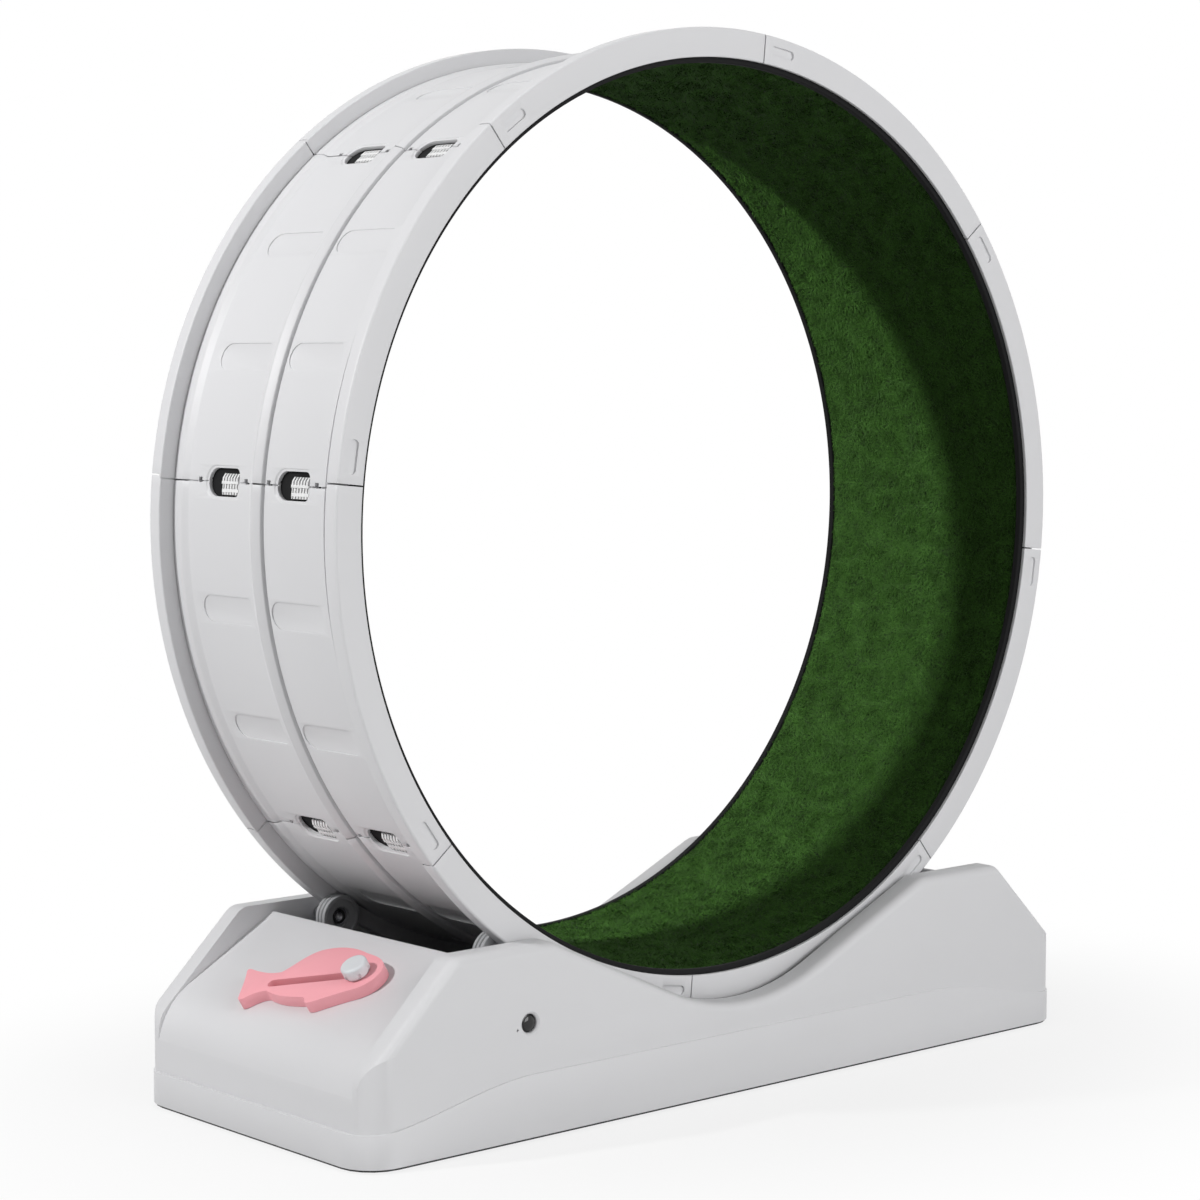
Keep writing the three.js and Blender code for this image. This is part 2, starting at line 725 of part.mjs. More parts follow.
function makeStud() {
  const top = fishThickness + washerThickness + 3 * clearance + knobHeight * 0.6;
  const headTop = -skin - 3 - clearance;
  const profile = [
    [0, headTop - studHeadHeight],
    [studRadius, headTop - studHeadHeight],
    [studRadius, top],
    [0, top],
  ];
  const shank = turned(profile, 12);
  shank.rotateX(Math.PI / 2);
  return toSolid(shank).add(pinZ(0, 0, studHead, headTop - studHeadHeight, headTop, 6));
}

function makeWasher() {
  const z0 = 2 * clearance + fishThickness;
  return drawnAlongZ(circleAt(0, 0, washerRadius, 16).reverse(), z0, z0 + washerThickness,
    [circleAt(0, 0, studRadius + clearance, 12)]);
}

function makeKnob() {
  const z0 = 3 * clearance + fishThickness + washerThickness;
  const top = z0 + knobHeight;
  const bore = studRadius + clearance;
  const boreTop = z0 + knobHeight * 0.6 + 2 * clearance;
  const profile = [
    [bore, z0],
    [knobRadius - 1, z0],
    [knobRadius, z0 + 1],
    [knobRadius, top - 2],
    [knobRadius - 0.7, top - 0.7],
    [knobRadius - 2.4, top],
    [0, top],
    [0, boreTop],
    [bore, boreTop],
  ];
  const points = profile.map(([r, h]) => new THREE.Vector2(r, h));
  points.push(points[0].clone());
  const body = new THREE.LatheGeometry(points, 18);
  body.rotateX(Math.PI / 2);
  const notches = [];
  for (let i = 0; i < knobNotches; i += 1) {
    const angle = (2 * Math.PI * i) / knobNotches;
    const notch = pinZ((knobRadius + 1.2) * Math.cos(angle), (knobRadius + 1.2) * Math.sin(angle),
      2.4, z0 - 1, z0 + knobHeight * 0.55, 6);
    notches.push(notch);
  }
  return toSolid(body).subtract(unionOf(notches));
}

// ---------- materials ----------
function finish(color, roughness, metalness = 0) {
  return new THREE.MeshStandardMaterial({ color, roughness, metalness });
}

const greyPlastic = finish(0xd6d6d9, 0.5);
const whitePlastic = finish(0xf2f2f2, 0.45);
const blackFoam = finish(0x121212, 0.9);
const greenTurf = finish(0x24501c, 0.95);
const blackPlastic = finish(0x151515, 0.55);
const blackRubber = finish(0x0d0d0d, 0.8);
const glossBlack = finish(0x060606, 0.15);
const greyRubber = finish(0xa5a6a8, 0.6);
const steel = finish(0xb9bcc0, 0.35, 0.9);
const pinkPlastic = finish(0xf3b4bb, 0.5);
const knobGrey = finish(0xcfd2d4, 0.45);

// ---------- assembly ----------
const part = new THREE.Group();

function addMesh(parent, name, geometry, material) {
  const mesh = new THREE.Mesh(geometry, material.clone());
  mesh.name = name;
  parent.add(mesh);
  return mesh;
}

const wheel = new THREE.Group();
wheel.position.set(0, 0, axleHeight);
part.add(wheel);
const segmentGeometry = toGeometry(makeSegment());
const clipGeometry = toGeometry(makeClip());
for (let i = 0; i < segmentCount; i += 1) {
  const turn = new THREE.Group();
  turn.rotation.y = -(wheelClock + segmentAngle * (i + 0.5)) * degree;
  wheel.add(turn);
  addMesh(turn, `wheel_segment_${i + 1}`, segmentGeometry.clone(), greyPlastic);
  const joint = new THREE.Group();
  joint.rotation.y = -(wheelClock + segmentAngle * i) * degree;
  wheel.add(joint);
  for (const [side, y] of [['front', -windowOffset], ['back', windowOffset]]) {
    addMesh(joint, `joint_clip_${side}_${i + 1}`, clipGeometry.clone(), whitePlastic).position.y = y;
  }
}
const lining = new THREE.Group();
lining.rotation.y = -wheelClock * degree;
wheel.add(lining);
const backingOuter = shellRadius - clearance;
const turfOuter = backingOuter - backingThickness - clearance;
const turfInner = turfOuter - turfThickness;
const matHalfSpan = halfWidth - flangeWall - clearance;
const bindingInside = matHalfSpan - bindingWidth;
const backing = makeMat([
  [backingOuter, matHalfSpan],
  [turfInner, matHalfSpan],
  [turfInner, bindingInside],
  [backingOuter - backingThickness, bindingInside],
]);
const turf = makeMat([
  [turfOuter, bindingInside - clearance],
  [turfInner, bindingInside - clearance],
]);
addMesh(lining, 'mat_backing', toGeometry(backing), blackFoam);
addMesh(lining, 'turf_mat', toGeometry(turf), greenTurf);

addMesh(part, 'base_shell', toGeometry(makeBaseShell()), greyPlastic);
addMesh(part, 'bottom_plate', toGeometry(makeBottomPlate()), blackPlastic);
addMesh(part, 'side_plug', toGeometry(makePlug()), glossBlack);
const middleFoot = wallOuter - middleFootSide;
const [backLeft, frontLeft, ...rightFeet] = fourCorners(halfLength - footEnd, wallOuter - footSide);
const feet = [backLeft, frontLeft, [0, -middleFoot], [0, middleFoot], ...rightFeet];
feet.forEach(([x, y], i) => {
  const foot = new THREE.CylinderGeometry(footRadius, footRadius, padFloor, 14);
  foot.rotateX(Math.PI / 2);
  const mesh = addMesh(part, `rubber_foot_${i + 1}`, toGeometry(toSolid(foot)), blackRubber);
  mesh.position.set(x, y, padFloor / 2);
});

const rollerPieces = [
  ['roller', tyreProfile, 16, greyRubber],
  ['roller_bearing', bearingProfile, 12, steel],
  ['roller_axle', axleProfile, 10, steel],
  ['roller_retainer', retainerProfile, 10, blackPlastic],
];
const rollerSites = [
  ['front_left', -1, -1],
  ['back_left', -1, 1],
  ['front_right', 1, -1],
  ['back_right', 1, 1],
];
for (const [where, sx, sy] of rollerSites) {
  for (const [name, profile, segments, material] of rollerPieces) {
    const points = profile().map(([r, y]) => [r, sy * y]);
    const geometry = toGeometry(toSolid(turned(points, segments)));
    addMesh(part, `${name}_${where}`, geometry, material).position.set(sx * rollerX, 0, rollerZ);
  }
}

const brake = new THREE.Group();
brake.position.copy(studFoot);
brake.rotation.y = -deckSlope;
part.add(brake);
const heading = new THREE.Group();
heading.rotation.z = brakeTurn * degree;
brake.add(heading);
addMesh(heading, 'brake_fish', toGeometry(makeFish()), pinkPlastic);
addMesh(heading, 'brake_bush', toGeometry(makeBush()), knobGrey);
addMesh(brake, 'brake_stud', toGeometry(makeStud()), steel);
addMesh(brake, 'brake_washer', toGeometry(makeWasher()), steel);
addMesh(brake, 'brake_knob', toGeometry(makeKnob()), knobGrey);

export default part;
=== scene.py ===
"""Pet exercise wheel: a turf-lined running wheel on four rollers in a trough base, with a
fish-shaped brake.

All lengths are in metres, +Z up. The wheel turns about Y at the axle height, the base is long in X,
and the brake is on the deck at -X. Angles round the wheel run from +X towards +Z.
"""
import json
import math

import bmesh
import bpy
import numpy as np
from bpy.props import FloatProperty, FloatVectorProperty, IntProperty, PointerProperty
from mathutils import Matrix, Vector

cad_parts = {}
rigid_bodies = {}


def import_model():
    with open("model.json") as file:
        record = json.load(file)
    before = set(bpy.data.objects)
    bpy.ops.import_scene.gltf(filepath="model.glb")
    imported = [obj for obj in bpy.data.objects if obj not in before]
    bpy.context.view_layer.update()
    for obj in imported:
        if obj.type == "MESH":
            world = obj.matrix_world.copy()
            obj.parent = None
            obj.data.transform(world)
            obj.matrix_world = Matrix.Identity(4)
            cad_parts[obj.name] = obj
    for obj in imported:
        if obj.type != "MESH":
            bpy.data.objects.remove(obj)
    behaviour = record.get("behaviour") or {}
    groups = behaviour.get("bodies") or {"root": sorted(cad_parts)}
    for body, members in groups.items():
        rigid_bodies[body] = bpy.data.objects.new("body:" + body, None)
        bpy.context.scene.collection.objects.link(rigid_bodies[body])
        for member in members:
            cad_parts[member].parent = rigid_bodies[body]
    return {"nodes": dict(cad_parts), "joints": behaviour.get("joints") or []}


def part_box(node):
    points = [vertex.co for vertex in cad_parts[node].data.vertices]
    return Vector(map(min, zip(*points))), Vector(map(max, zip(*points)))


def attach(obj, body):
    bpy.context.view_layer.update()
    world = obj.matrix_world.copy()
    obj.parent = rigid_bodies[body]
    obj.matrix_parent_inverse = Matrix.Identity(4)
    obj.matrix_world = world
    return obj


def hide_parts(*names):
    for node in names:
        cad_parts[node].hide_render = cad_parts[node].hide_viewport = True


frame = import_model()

bl_info = {
    "name": "Pet exercise wheel",
    "version": (1, 0, 0),
    "blender": (4, 5, 0),
    "location": "View3D > Sidebar > Exercise Wheel",
    "description": "Builds a running wheel, its base, rollers and brake round the packed model",
    "category": "Add Mesh",
}

MM = 0.001
DEGREE = math.pi / 180
FIT = 0.3 * MM
Y_AXIS, Z_AXIS = (0, 1, 0), (0, 0, 1)
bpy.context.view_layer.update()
JOINTS = {joint["name"]: joint for joint in frame["joints"]}
AXLE_HEIGHT = JOINTS["wheel_spin"]["pos_m"][2]
ROLLER_SITES = ("front_left", "back_left", "front_right", "back_right")
FEET = 6


# ---------- settings ----------
def length(name, description, default):
    """A length property in metres, shown in the scene's units."""
    return FloatProperty(name=name, description=description, default=default, min=0.0, max=2.0,
                         unit="LENGTH", precision=4)


def angle(name, description, degrees):
    """An angle property, kept in radians and shown in degrees."""
    return FloatProperty(name=name, description=description, default=degrees * DEGREE, subtype="ANGLE")


def power(name, description, watts):
    """The power of a lamp."""
    return FloatProperty(name=name, description=description, default=watts, min=0.0, unit="POWER")


def colour(name, description, *shade):
    """A linear colour property with alpha."""
    return FloatVectorProperty(name=name, description=description, default=(*shade, 1.0), size=4,
                               subtype="COLOR", min=0.0, max=1.0)


class WheelSizes(bpy.types.PropertyGroup):
    """Sizes of the rim, its clips and its lining"""
    radius: length("Radius", "Outside of the side flanges", 400 * MM)
    half_width: length("Half width", "From the middle to the outside of a flange", 124 * MM)
    lip_radius: length("Lip radius", "Inside of the flanges", 376 * MM)
    shell_radius: length("Shell radius", "Inside of the panels", 380 * MM)
    panel_radius: length("Panel radius", "Outside of the panels", 384 * MM)
    track_radius: length("Track radius", "Running track of the rollers", 387 * MM)
    track_width: length("Track width", "Width of a running track", 16 * MM)
    ridge_height: length("Ridge height", "Centre ridge above the panels", 5 * MM)
    ridge_half: length("Ridge half width", "Half of the centre ridge", 9 * MM)
    flange_width: length("Flange width", "Width of a hollow side flange", 14 * MM)
    flange_wall: length("Flange wall", "Skin of a hollow flange", 3.4 * MM)
    edge: length("Edge", "Rounding of the rim's sharp edges", 0.45 * MM)
    joint_step: length("Joint step", "Offset of the flange joints round the rim", 3 * MM)
    seam: length("Seam", "Gap between two segments", 1.3 * MM)
    jog: length("Jog", "Step of the seam on the back half of the ridge", 2.4 * MM)
    crease: length("Crease", "Depth of the grooves beside ridge, tracks and flanges", 2.2 * MM)
    window_offset: length("Window offset", "Centre of a window from the ridge", 46 * MM)
    window_length: length("Window length", "Length of a window across the rim", 41 * MM)
    window_height: length("Window height", "Height of a window round the rim", 22.4 * MM)
    window_bevel: length("Window bevel", "How far the mouth of a window widens", 2.4 * MM)
    notch_offset: length("Notch offset", "Centre of a seam notch from its window", 31 * MM)
    pad_length: length("Pad length", "Length of a shallow pad", 66 * MM)
    pad_height: length("Pad height", "Height of a shallow pad", 22 * MM)
    pad_depth: length("Pad depth", "Depth of a shallow pad", 0.9 * MM)
    slot_offset: length("Slot offset", "Centre of a flange slot from the joint", 21.5 * MM)
    slot_depth: length("Slot depth", "Depth of a flange slot", 2 * MM)
    clock: angle("Clock", "Angle of one joint line", 39.5)
    segments: IntProperty(name="Segments", description="Moulded pieces of the rim", default=8, min=4)
    clip_span: length("Clip span", "Width of a snap clip", 22 * MM)
    fins: IntProperty(name="Fins", description="Fins of a snap clip", default=6, min=2)
    mat_thickness: length("Mat thickness", "Black backing under the turf", 4 * MM)
    binding: length("Binding", "Width of the raised edge of the backing", 5.5 * MM)
    binding_radius: length("Binding radius", "Inside of that edge", 371.6 * MM)
    turf_half_width: length("Turf half width", "Half of the turf's width", 114.5 * MM)
    turf_ground: length("Turf ground", "Thickness of the turf without its blades", 1.6 * MM)
    pile_length: length("Pile length", "Length of the grass blades", 7 * MM)
    blades: IntProperty(name="Blades", description="Grass blades over one segment", default=38000,
                        min=100)


class BaseSizes(bpy.types.PropertyGroup):
    """Sizes of the base moulding and of what is fixed to it"""
    half_length: length("Half length", "Half of the base's length at the floor", 398 * MM)
    half_width: length("Half width", "Half of the base's width", 153 * MM)
    wall: length("Wall", "Thickness of a side wall", 23 * MM)
    shoulder: length("Shoulder", "Height where the end face turns into the end slope", 74.7 * MM)
    shoulder_in: length("Shoulder inset", "How far the end face leans in up to there", 4.5 * MM)
    peak: length("Peak", "Top of the side walls", 155 * MM)
    peak_out: length("Peak start", "Outer end of that top from the middle", 311 * MM)
    peak_in: length("Peak end", "Inner end of that top from the middle", 212 * MM)
    dip: length("Dip", "Where the two dipping lines of a wall would cross", 58.5 * MM)
    dip_radius: length("Dip radius", "Rounding of the dip", 197 * MM)
    slope: angle("Deck slope", "Slope of the end decks", 31)
    deck_top: length("Deck top", "Height of a deck at its upper edge", 148 * MM)
    deck_edge: length("Deck edge", "Distance of that edge from the middle", 279 * MM)
    deck_end: length("Deck end", "Distance of a deck's lower edge from the middle", 392.45 * MM)
    trough: length("Trough", "Half of the trough's length", 276 * MM)
    trough_floor: length("Trough floor", "Height of the trough's floor", 38 * MM)
    corner: length("Corner", "Radius of the upright corners", 32 * MM)
    edge: length("Edge", "Radius of the long outer edges", 8 * MM)
    soft_edge: length("Soft edge", "Radius of the inner edges", 2.2 * MM)
    band: length("Band", "How far the lower band stands out", 1.2 * MM)
    band_low: length("Band at the ends", "Top of the lower band at the ends", 29.5 * MM)
    band_high: length("Band in the middle", "Top of the lower band in the middle", 53 * MM)
    bottom: length("Bottom", "Underside of the moulding", 3.3 * MM)
    foot_radius: length("Foot radius", "Radius of a rubber foot", 14 * MM)
    foot_height: length("Foot height", "Height of a rubber foot", 1.2 * MM)
    tyre_radius: length("Tyre radius", "Radius of a roller", 18.5 * MM)


class BrakeSizes(bpy.types.PropertyGroup):
    """Sizes of the fish-shaped brake and its knob"""
    heading: angle("Heading", "Turn of the fish on the deck", -68.5)
    thickness: length("Thickness", "Thickness of the fish", 10 * MM)
    slot_length: length("Slot length", "Length of the slot from the stud to the tail", 84 * MM)
    slot_end: length("Slot end", "End of the slot on the other side of the stud", 7.8 * MM)
    slot_width: length("Slot width", "Width of the slot", 8.4 * MM)
    stud: length("Stud radius", "Radius of the fixed stud", 3 * MM)
    washer: length("Washer", "Thickness of the washer", 1.2 * MM)
    knob_radius: length("Knob radius", "Radius of the knob", 11 * MM)
    knob_height: length("Knob height", "Height of the knob", 9.5 * MM)
    knob_round: length("Knob rounding", "Rounding of the knob's top", 2.2 * MM)


class Finishes(bpy.types.PropertyGroup):
    """Colours of the product and the light on it"""
    plastic: colour("Grey plastic", "Mouldings of the rim and the base", 0.665, 0.665, 0.678)
    clip: colour("Clip plastic", "Snap clips", 0.80, 0.80, 0.80)
    fish: colour("Fish", "Pink plastic of the brake", 0.90, 0.385, 0.43)
    knob: colour("Knob", "Grey plastic of the knob", 0.66, 0.68, 0.70)
    rubber: colour("Roller rubber", "Tyres of the rollers", 0.40, 0.405, 0.415)
    dark: colour("Dark rubber", "Backing of the turf and the feet", 0.004, 0.004, 0.0045)
    black: colour("Black plastic", "Bottom plate and retainers", 0.016, 0.016, 0.017)
    gloss: colour("Gloss black", "Plug in the wall", 0.004, 0.004, 0.004)
    # painted shade: the trough is moulded in the same grey plastic, and this near-black colour is painted
    # on its floor and low walls to stand for the shade under the wheel
    hollow: colour("Trough", "Low walls and floor of the trough", 0.012, 0.012, 0.013)
    turf: colour("Turf", "Middle green of the turf", 0.030, 0.080, 0.013)
    band_power: power("Side light", "Small light from the upper left", 46)
    turf_power: power("Turf light", "Light on the turf alone", 85)
    top_power: power("Top light", "Soft light above", 21)
    front_power: power("Front light", "Soft light in front", 92)
    world: FloatProperty(name="Sky", description="Strength of the even light", default=0.13, min=0.0)


# ---------- outlines and surfaces ----------
def mm(*corners):
    """Corners written in millimetres, as metres."""
    return [tuple(value * MM for value in corner) for corner in corners]


def lifted(corners, height):
    """Lathe corners (radius, height, rounding) moved along the axis."""
    return [(radius, height + level, *rest) for radius, level, *rest in corners]


def reflected(corners, axis=0):
    """The mirror image of corners across an axis, in reverse order, so that an outline goes on."""
    return [tuple(-value if i == axis else value for i, value in enumerate(corner))
            for corner in reversed(corners)]


def filleted(corners, inset=0.0, step=6.0):
    """Closed outline of corners (x, y, radius), anticlockwise: every side is moved inwards by inset,
    and every corner is the arc tangent to its two sides, its radius less the inset where it is raised
    and more where it is hollow. step is the arc's angle per point, in degrees."""
    place = np.array([corner[:2] for corner in corners], float)
    radius = np.array([corner[2] if len(corner) > 2 else 0.0 for corner in corners])
    along = np.roll(place, -1, 0) - place
    along /= np.linalg.norm(along, axis=1)[:, None]
    inward = np.stack([-along[:, 1], along[:, 0]], 1)
    points = []
    for i, (before, after) in enumerate(zip(np.roll(along, 1, 0), along)):
        turn = before[0] * after[1] - before[1] * after[0]
        if abs(turn) < 1e-9:
            points.append(place[i] + inset * inward[i])
            continue
        corner = place[i] + inset * (inward[i - 1] + inward[i]) / (1 + inward[i - 1] @ inward[i])
        bend = radius[i] - math.copysign(inset, turn) if radius[i] else 0.0
        if bend <= 0:
            points.append(corner)
            continue
        whole = math.atan2(turn, before @ after)
        start = corner - before * bend * math.tan(abs(whole) / 2)
        centre = start + math.copysign(bend, turn) * inward[i - 1]
        count = max(2, math.ceil(abs(whole) / (step * DEGREE) - 0.01))
        a = whole * np.arange(count + 1) / count
        spoke = start - centre
        points.extend(centre + np.stack([spoke[0] * np.cos(a) - spoke[1] * np.sin(a),
                                         spoke[0] * np.sin(a) + spoke[1] * np.cos(a)], 1))
    return np.array(points)


def grid_faces(rows, columns, close_rows, close_columns):
    """Quads of a grid of rows x columns points, as an array of point numbers."""
    i = np.arange(rows if close_rows else rows - 1)
    j = np.arange(columns if close_columns else columns - 1)
    i, j = np.meshgrid(i, j, indexing="ij")
    right, down = (j + 1) % columns, (i + 1) % rows
    quads = np.stack([i * columns + j, i * columns + right, down * columns + right, down * columns + j], -1)
    return quads.reshape(-1, 4)


def stacked(layers):
    """Closed solid of outlines with the same number of points, one above the other: the grid of all
    layers, and a cap over the first and the last."""
    rows, columns = len(layers), len(layers[0])
    caps = [list(range(columns)), list(range((rows - 1) * columns, rows * columns))]
    return np.concatenate(layers), [*grid_faces(rows, columns, False, True), *caps]


def slab(corners, low, high, axis, inset=0.0, rounding=0.0, step=6.0):
    """Outline drawn out from low to high along an axis, 1 for Y or 2 for Z. With a rounding r the
    outline at a distance r(1 - sin a) from an end face is moved inwards by r(1 - cos a)."""
    turns = np.linspace(90, 0, 6) * DEGREE if rounding else np.array([0.0])
    near = [(low + rounding * (1 - math.sin(a)), inset + rounding * (1 - math.cos(a))) for a in turns]
    far = [(high + low - level, depth) for level, depth in reversed(near)]
    layers = []
    for level, depth in near + far:
        outline = filleted(corners, depth, step)
        layer = np.full((len(outline), 3), level)
        layer[:, [0, 2] if axis == 1 else [0, 1]] = outline
        layers.append(layer)
    return stacked(layers)


def rectangle(low, high, rounding=0.0):
    """Corners of a rectangle between two corners, all with the same rounding."""
    return [(low[0], low[1], rounding), (high[0], low[1], rounding),
            (high[0], high[1], rounding), (low[0], high[1], rounding)]


def block(low, high):
    """A plain box between two corners, the outline of its base drawn up along Z."""
    return slab(rectangle(low, high), low[2], high[2], 2)


def lathe(profile, steps, centre=(0, 0, 0), axis=Y_AXIS):
    """Profile of (radius, height) turned about an axis through centre: the point at angle t is
    centre + height * axis + radius * (cos t * u + sin t * v), with u and v across the axis."""
    profile = np.asarray(profile, float)
    w = Vector(axis).normalized()
    u = w.orthogonal().normalized()
    v = w.cross(u)
    t = np.linspace(0, 2 * math.pi, steps, endpoint=False)
    ring = np.cos(t)[:, None] * np.array(u) + np.sin(t)[:, None] * np.array(v)
    points = (np.array(centre) + profile[None, :, 1, None] * np.array(w)
              + profile[None, :, 0, None] * ring[:, None, :])
    closed = profile[0, 0] > 0 and profile[-1, 0] > 0
    return points.reshape(-1, 3), grid_faces(steps, len(profile), True, closed)


def stood_on_rim(points, around):
    """Points (radius, y, distance round the rim) at an angle a round the axle:
    x = radius * cos a - distance * sin a, and z = radius * sin a + distance * cos a."""
    r, y, s, a = np.broadcast_arrays(*np.moveaxis(np.asarray(points, float), -1, 0), around)
    return np.stack([r * np.cos(a) - s * np.sin(a), y, r * np.sin(a) + s * np.cos(a)], -1)


def turned_about_axle(around):
    """Turn about the wheel's axle, from +X towards +Z."""
    return Matrix.Translation((0, 0, AXLE_HEIGHT)) @ Matrix.Rotation(-around, 4, "Y")


# ---------- meshes ----------
def new_mesh(name, points, faces):
    """A mesh of points and faces with its normals turned outwards, capped faces cut to triangles."""
    mesh = bpy.data.meshes.new(name)
    mesh.from_pydata(np.asarray(points, float).tolist(), [], [list(map(int, face)) for face in faces])
    work = bmesh.new()
    work.from_mesh(mesh)
    bmesh.ops.remove_doubles(work, verts=work.verts, dist=1e-7)
    caps = [face for face in work.faces if len(face.verts) > 4]
    bmesh.ops.triangulate(work, faces=caps, ngon_method="EAR_CLIP")
    bmesh.ops.recalc_face_normals(work, faces=work.faces)
    work.to_mesh(mesh)
    work.free()
    return mesh


def triangle_mesh(name, points, faces):
    """A mesh straight from arrays of points and triangles that already face out."""
    mesh = bpy.data.meshes.new(name)
    mesh.vertices.add(len(points))
    mesh.vertices.foreach_set("co", points.ravel())
    mesh.loops.add(faces.size)
    mesh.loops.foreach_set("vertex_index", faces.ravel())
    mesh.polygons.add(len(faces))
    mesh.polygons.foreach_set("loop_start", np.arange(0, faces.size, 3))
    mesh.update(calc_edges=True)
    return mesh


def scratch(solid):
    """An object of a solid while it is being cut, joined or rounded."""
    item = bpy.data.objects.new("scratch", new_mesh("scratch", *solid))
    bpy.context.scene.collection.objects.link(item)
    return item


def released(item, matrix=Matrix()):
    """The mesh of a scratch object carried by a matrix, with the object gone."""
    mesh = item.data
    bpy.data.objects.remove(item)
    mesh.transform(matrix)
    return mesh


def turned_copy(mesh, matrix):
    """A copy of a mesh carried by a matrix."""
    made = mesh.copy()
    made.transform(matrix)
    return made


def apply_modifiers(item):
    """The object's mesh as its modifiers leave it, with the modifiers gone."""
    graph = bpy.context.evaluated_depsgraph_get()
    made = bpy.data.meshes.new_from_object(item.evaluated_get(graph))
    old = item.data
    item.modifiers.clear()
    item.data = made
    bpy.data.meshes.remove(old)


def combined(item, operation, *solids):
    """Joins, cuts or crosses an object with each of the other solids or scratch objects."""
    for solid in solids:
        other = scratch(solid) if isinstance(solid, tuple) else solid
        step = item.modifiers.new("Join", "BOOLEAN")
        step.operation = operation
        step.solver = "EXACT"
        step.object = other
        apply_modifiers(item)
        bpy.data.meshes.remove(released(other))
    if not item.data.polygons:
        raise RuntimeError("A cut left nothing of a solid")


def rounded(item, width, sharpest, segments=2, merge=2e-6):
    """Merges points that a cut left closer than merge, drops flat slivers, and rounds every edge
    sharper than an angle in degrees."""
    clean(item, merge)
    step = item.modifiers.new("Edges", "BEVEL")
    step.width = width
    step.segments = segments
    step.limit_method = "ANGLE"
    step.angle_limit = sharpest * DEGREE
    step.use_clamp_overlap = True
    step.miter_outer = "MITER_ARC"
    apply_modifiers(item)


def clean(item, merge=2e-6):
    """Merges points that a cut left on top of each other and drops flat slivers."""
    work = bmesh.new()
    work.from_mesh(item.data)
    bmesh.ops.remove_doubles(work, verts=work.verts, dist=merge)
    bmesh.ops.dissolve_degenerate(work, dist=merge, edges=work.edges)
    work.to_mesh(item.data)
    work.free()


def piece(name, shape, finish, body, nodes=(), smooth=32.0):
    """A finished piece from a mesh or from points and faces: smooth up to an angle in degrees, with
    its material, on its body, and in place of its CAD nodes."""
    mesh = new_mesh(name, *shape) if isinstance(shape, tuple) else shape
    if not mesh.polygons:
        raise RuntimeError(f"{name} came out empty")
    item = bpy.data.objects.new(name, mesh)
    bpy.context.scene.collection.objects.link(item)
    mesh.name = name
    mesh.materials.clear()
    mesh.materials.append(material_of(finish))
    mesh.shade_smooth()
    mesh.set_sharp_from_angle(angle=smooth * DEGREE)
    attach(item, body)
    if nodes:
        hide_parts(*nodes)
    return item


# ---------- materials ----------
def node_group(name, inputs, outputs):
    """A shader group with named inputs and outputs, the outputs of its input node, and its output
    node."""
    group = bpy.data.node_groups.new(name, "ShaderNodeTree")
    for label, default in inputs.items():
        kind = "NodeSocketColor" if isinstance(default, tuple) else "NodeSocketFloat"
        group.interface.new_socket(label, in_out="INPUT", socket_type=kind).default_value = default
    for label in outputs:
        kind = "NodeSocketColor" if label == "Colour" else "NodeSocketFloat"
        group.interface.new_socket(label, in_out="OUTPUT", socket_type=kind)
    return group, group.nodes.new("NodeGroupInput").outputs, group.nodes.new("NodeGroupOutput")


def feed(tree, node, inputs):
    """Gives a node's inputs, by name or number, their values or the outputs they follow."""
    for key, source in inputs.items():
        if isinstance(source, bpy.types.NodeSocket):
            tree.links.new(source, node.inputs[key])
        else:
            node.inputs[key].default_value = source


def add(tree, kind, inputs=None, **settings):
    """A node with its settings and its inputs."""
    node = tree.nodes.new(kind)
    for key, value in settings.items():
        setattr(node, key, value)
    feed(tree, node, inputs or {})
    return node


def calculated(tree, operation, *terms):
    """The result of a Math node on values and outputs."""
    return add(tree, "ShaderNodeMath", dict(enumerate(terms)), operation=operation).outputs[0]


def object_place(tree):
    """The point that is shaded, in the object's own coordinates."""
    return add(tree, "ShaderNodeTexCoord").outputs["Object"]


def noise(tree, place, scale, detail):
    """Noise between 0 and 1 at a place."""
    inputs = {"Vector": place, "Scale": scale, "Detail": detail}
    return add(tree, "ShaderNodeTexNoise", inputs).outputs["Fac"]


def signed(tree, value):
    """A noise between 0 and 1 as a change to either side."""
    return calculated(tree, "SUBTRACT", value, 0.5)


def scaled_colour(tree, tint, factor):
    """A colour made brighter or darker."""
    return add(tree, "ShaderNodeVectorMath", {0: tint, "Scale": factor}, operation="SCALE").outputs[0]


def moulded_group():
    """Moulded plastic: cloud-like changes of shade and gloss, and the fine grain of the mould."""
    group, given, out = node_group(
        "Moulded plastic",
        {"Colour": (0.7, 0.7, 0.7, 1.0), "Shade change": 0.03, "Roughness": 0.45,
         "Gloss change": 0.08, "Grain size": 1400.0},
        ("Colour", "Roughness", "Height"))
    place = object_place(group)
    cloud = signed(group, noise(group, place, 9.0, 3.0))
    shade = calculated(group, "MULTIPLY", cloud, given["Shade change"])
    gloss = calculated(group, "MULTIPLY", cloud, given["Gloss change"])
    feed(group, out, {
        "Colour": scaled_colour(group, given["Colour"], calculated(group, "ADD", shade, 1.0)),
        "Roughness": calculated(group, "ADD", given["Roughness"], gloss),
        "Height": noise(group, place, given["Grain size"], 2.0)})
    return group


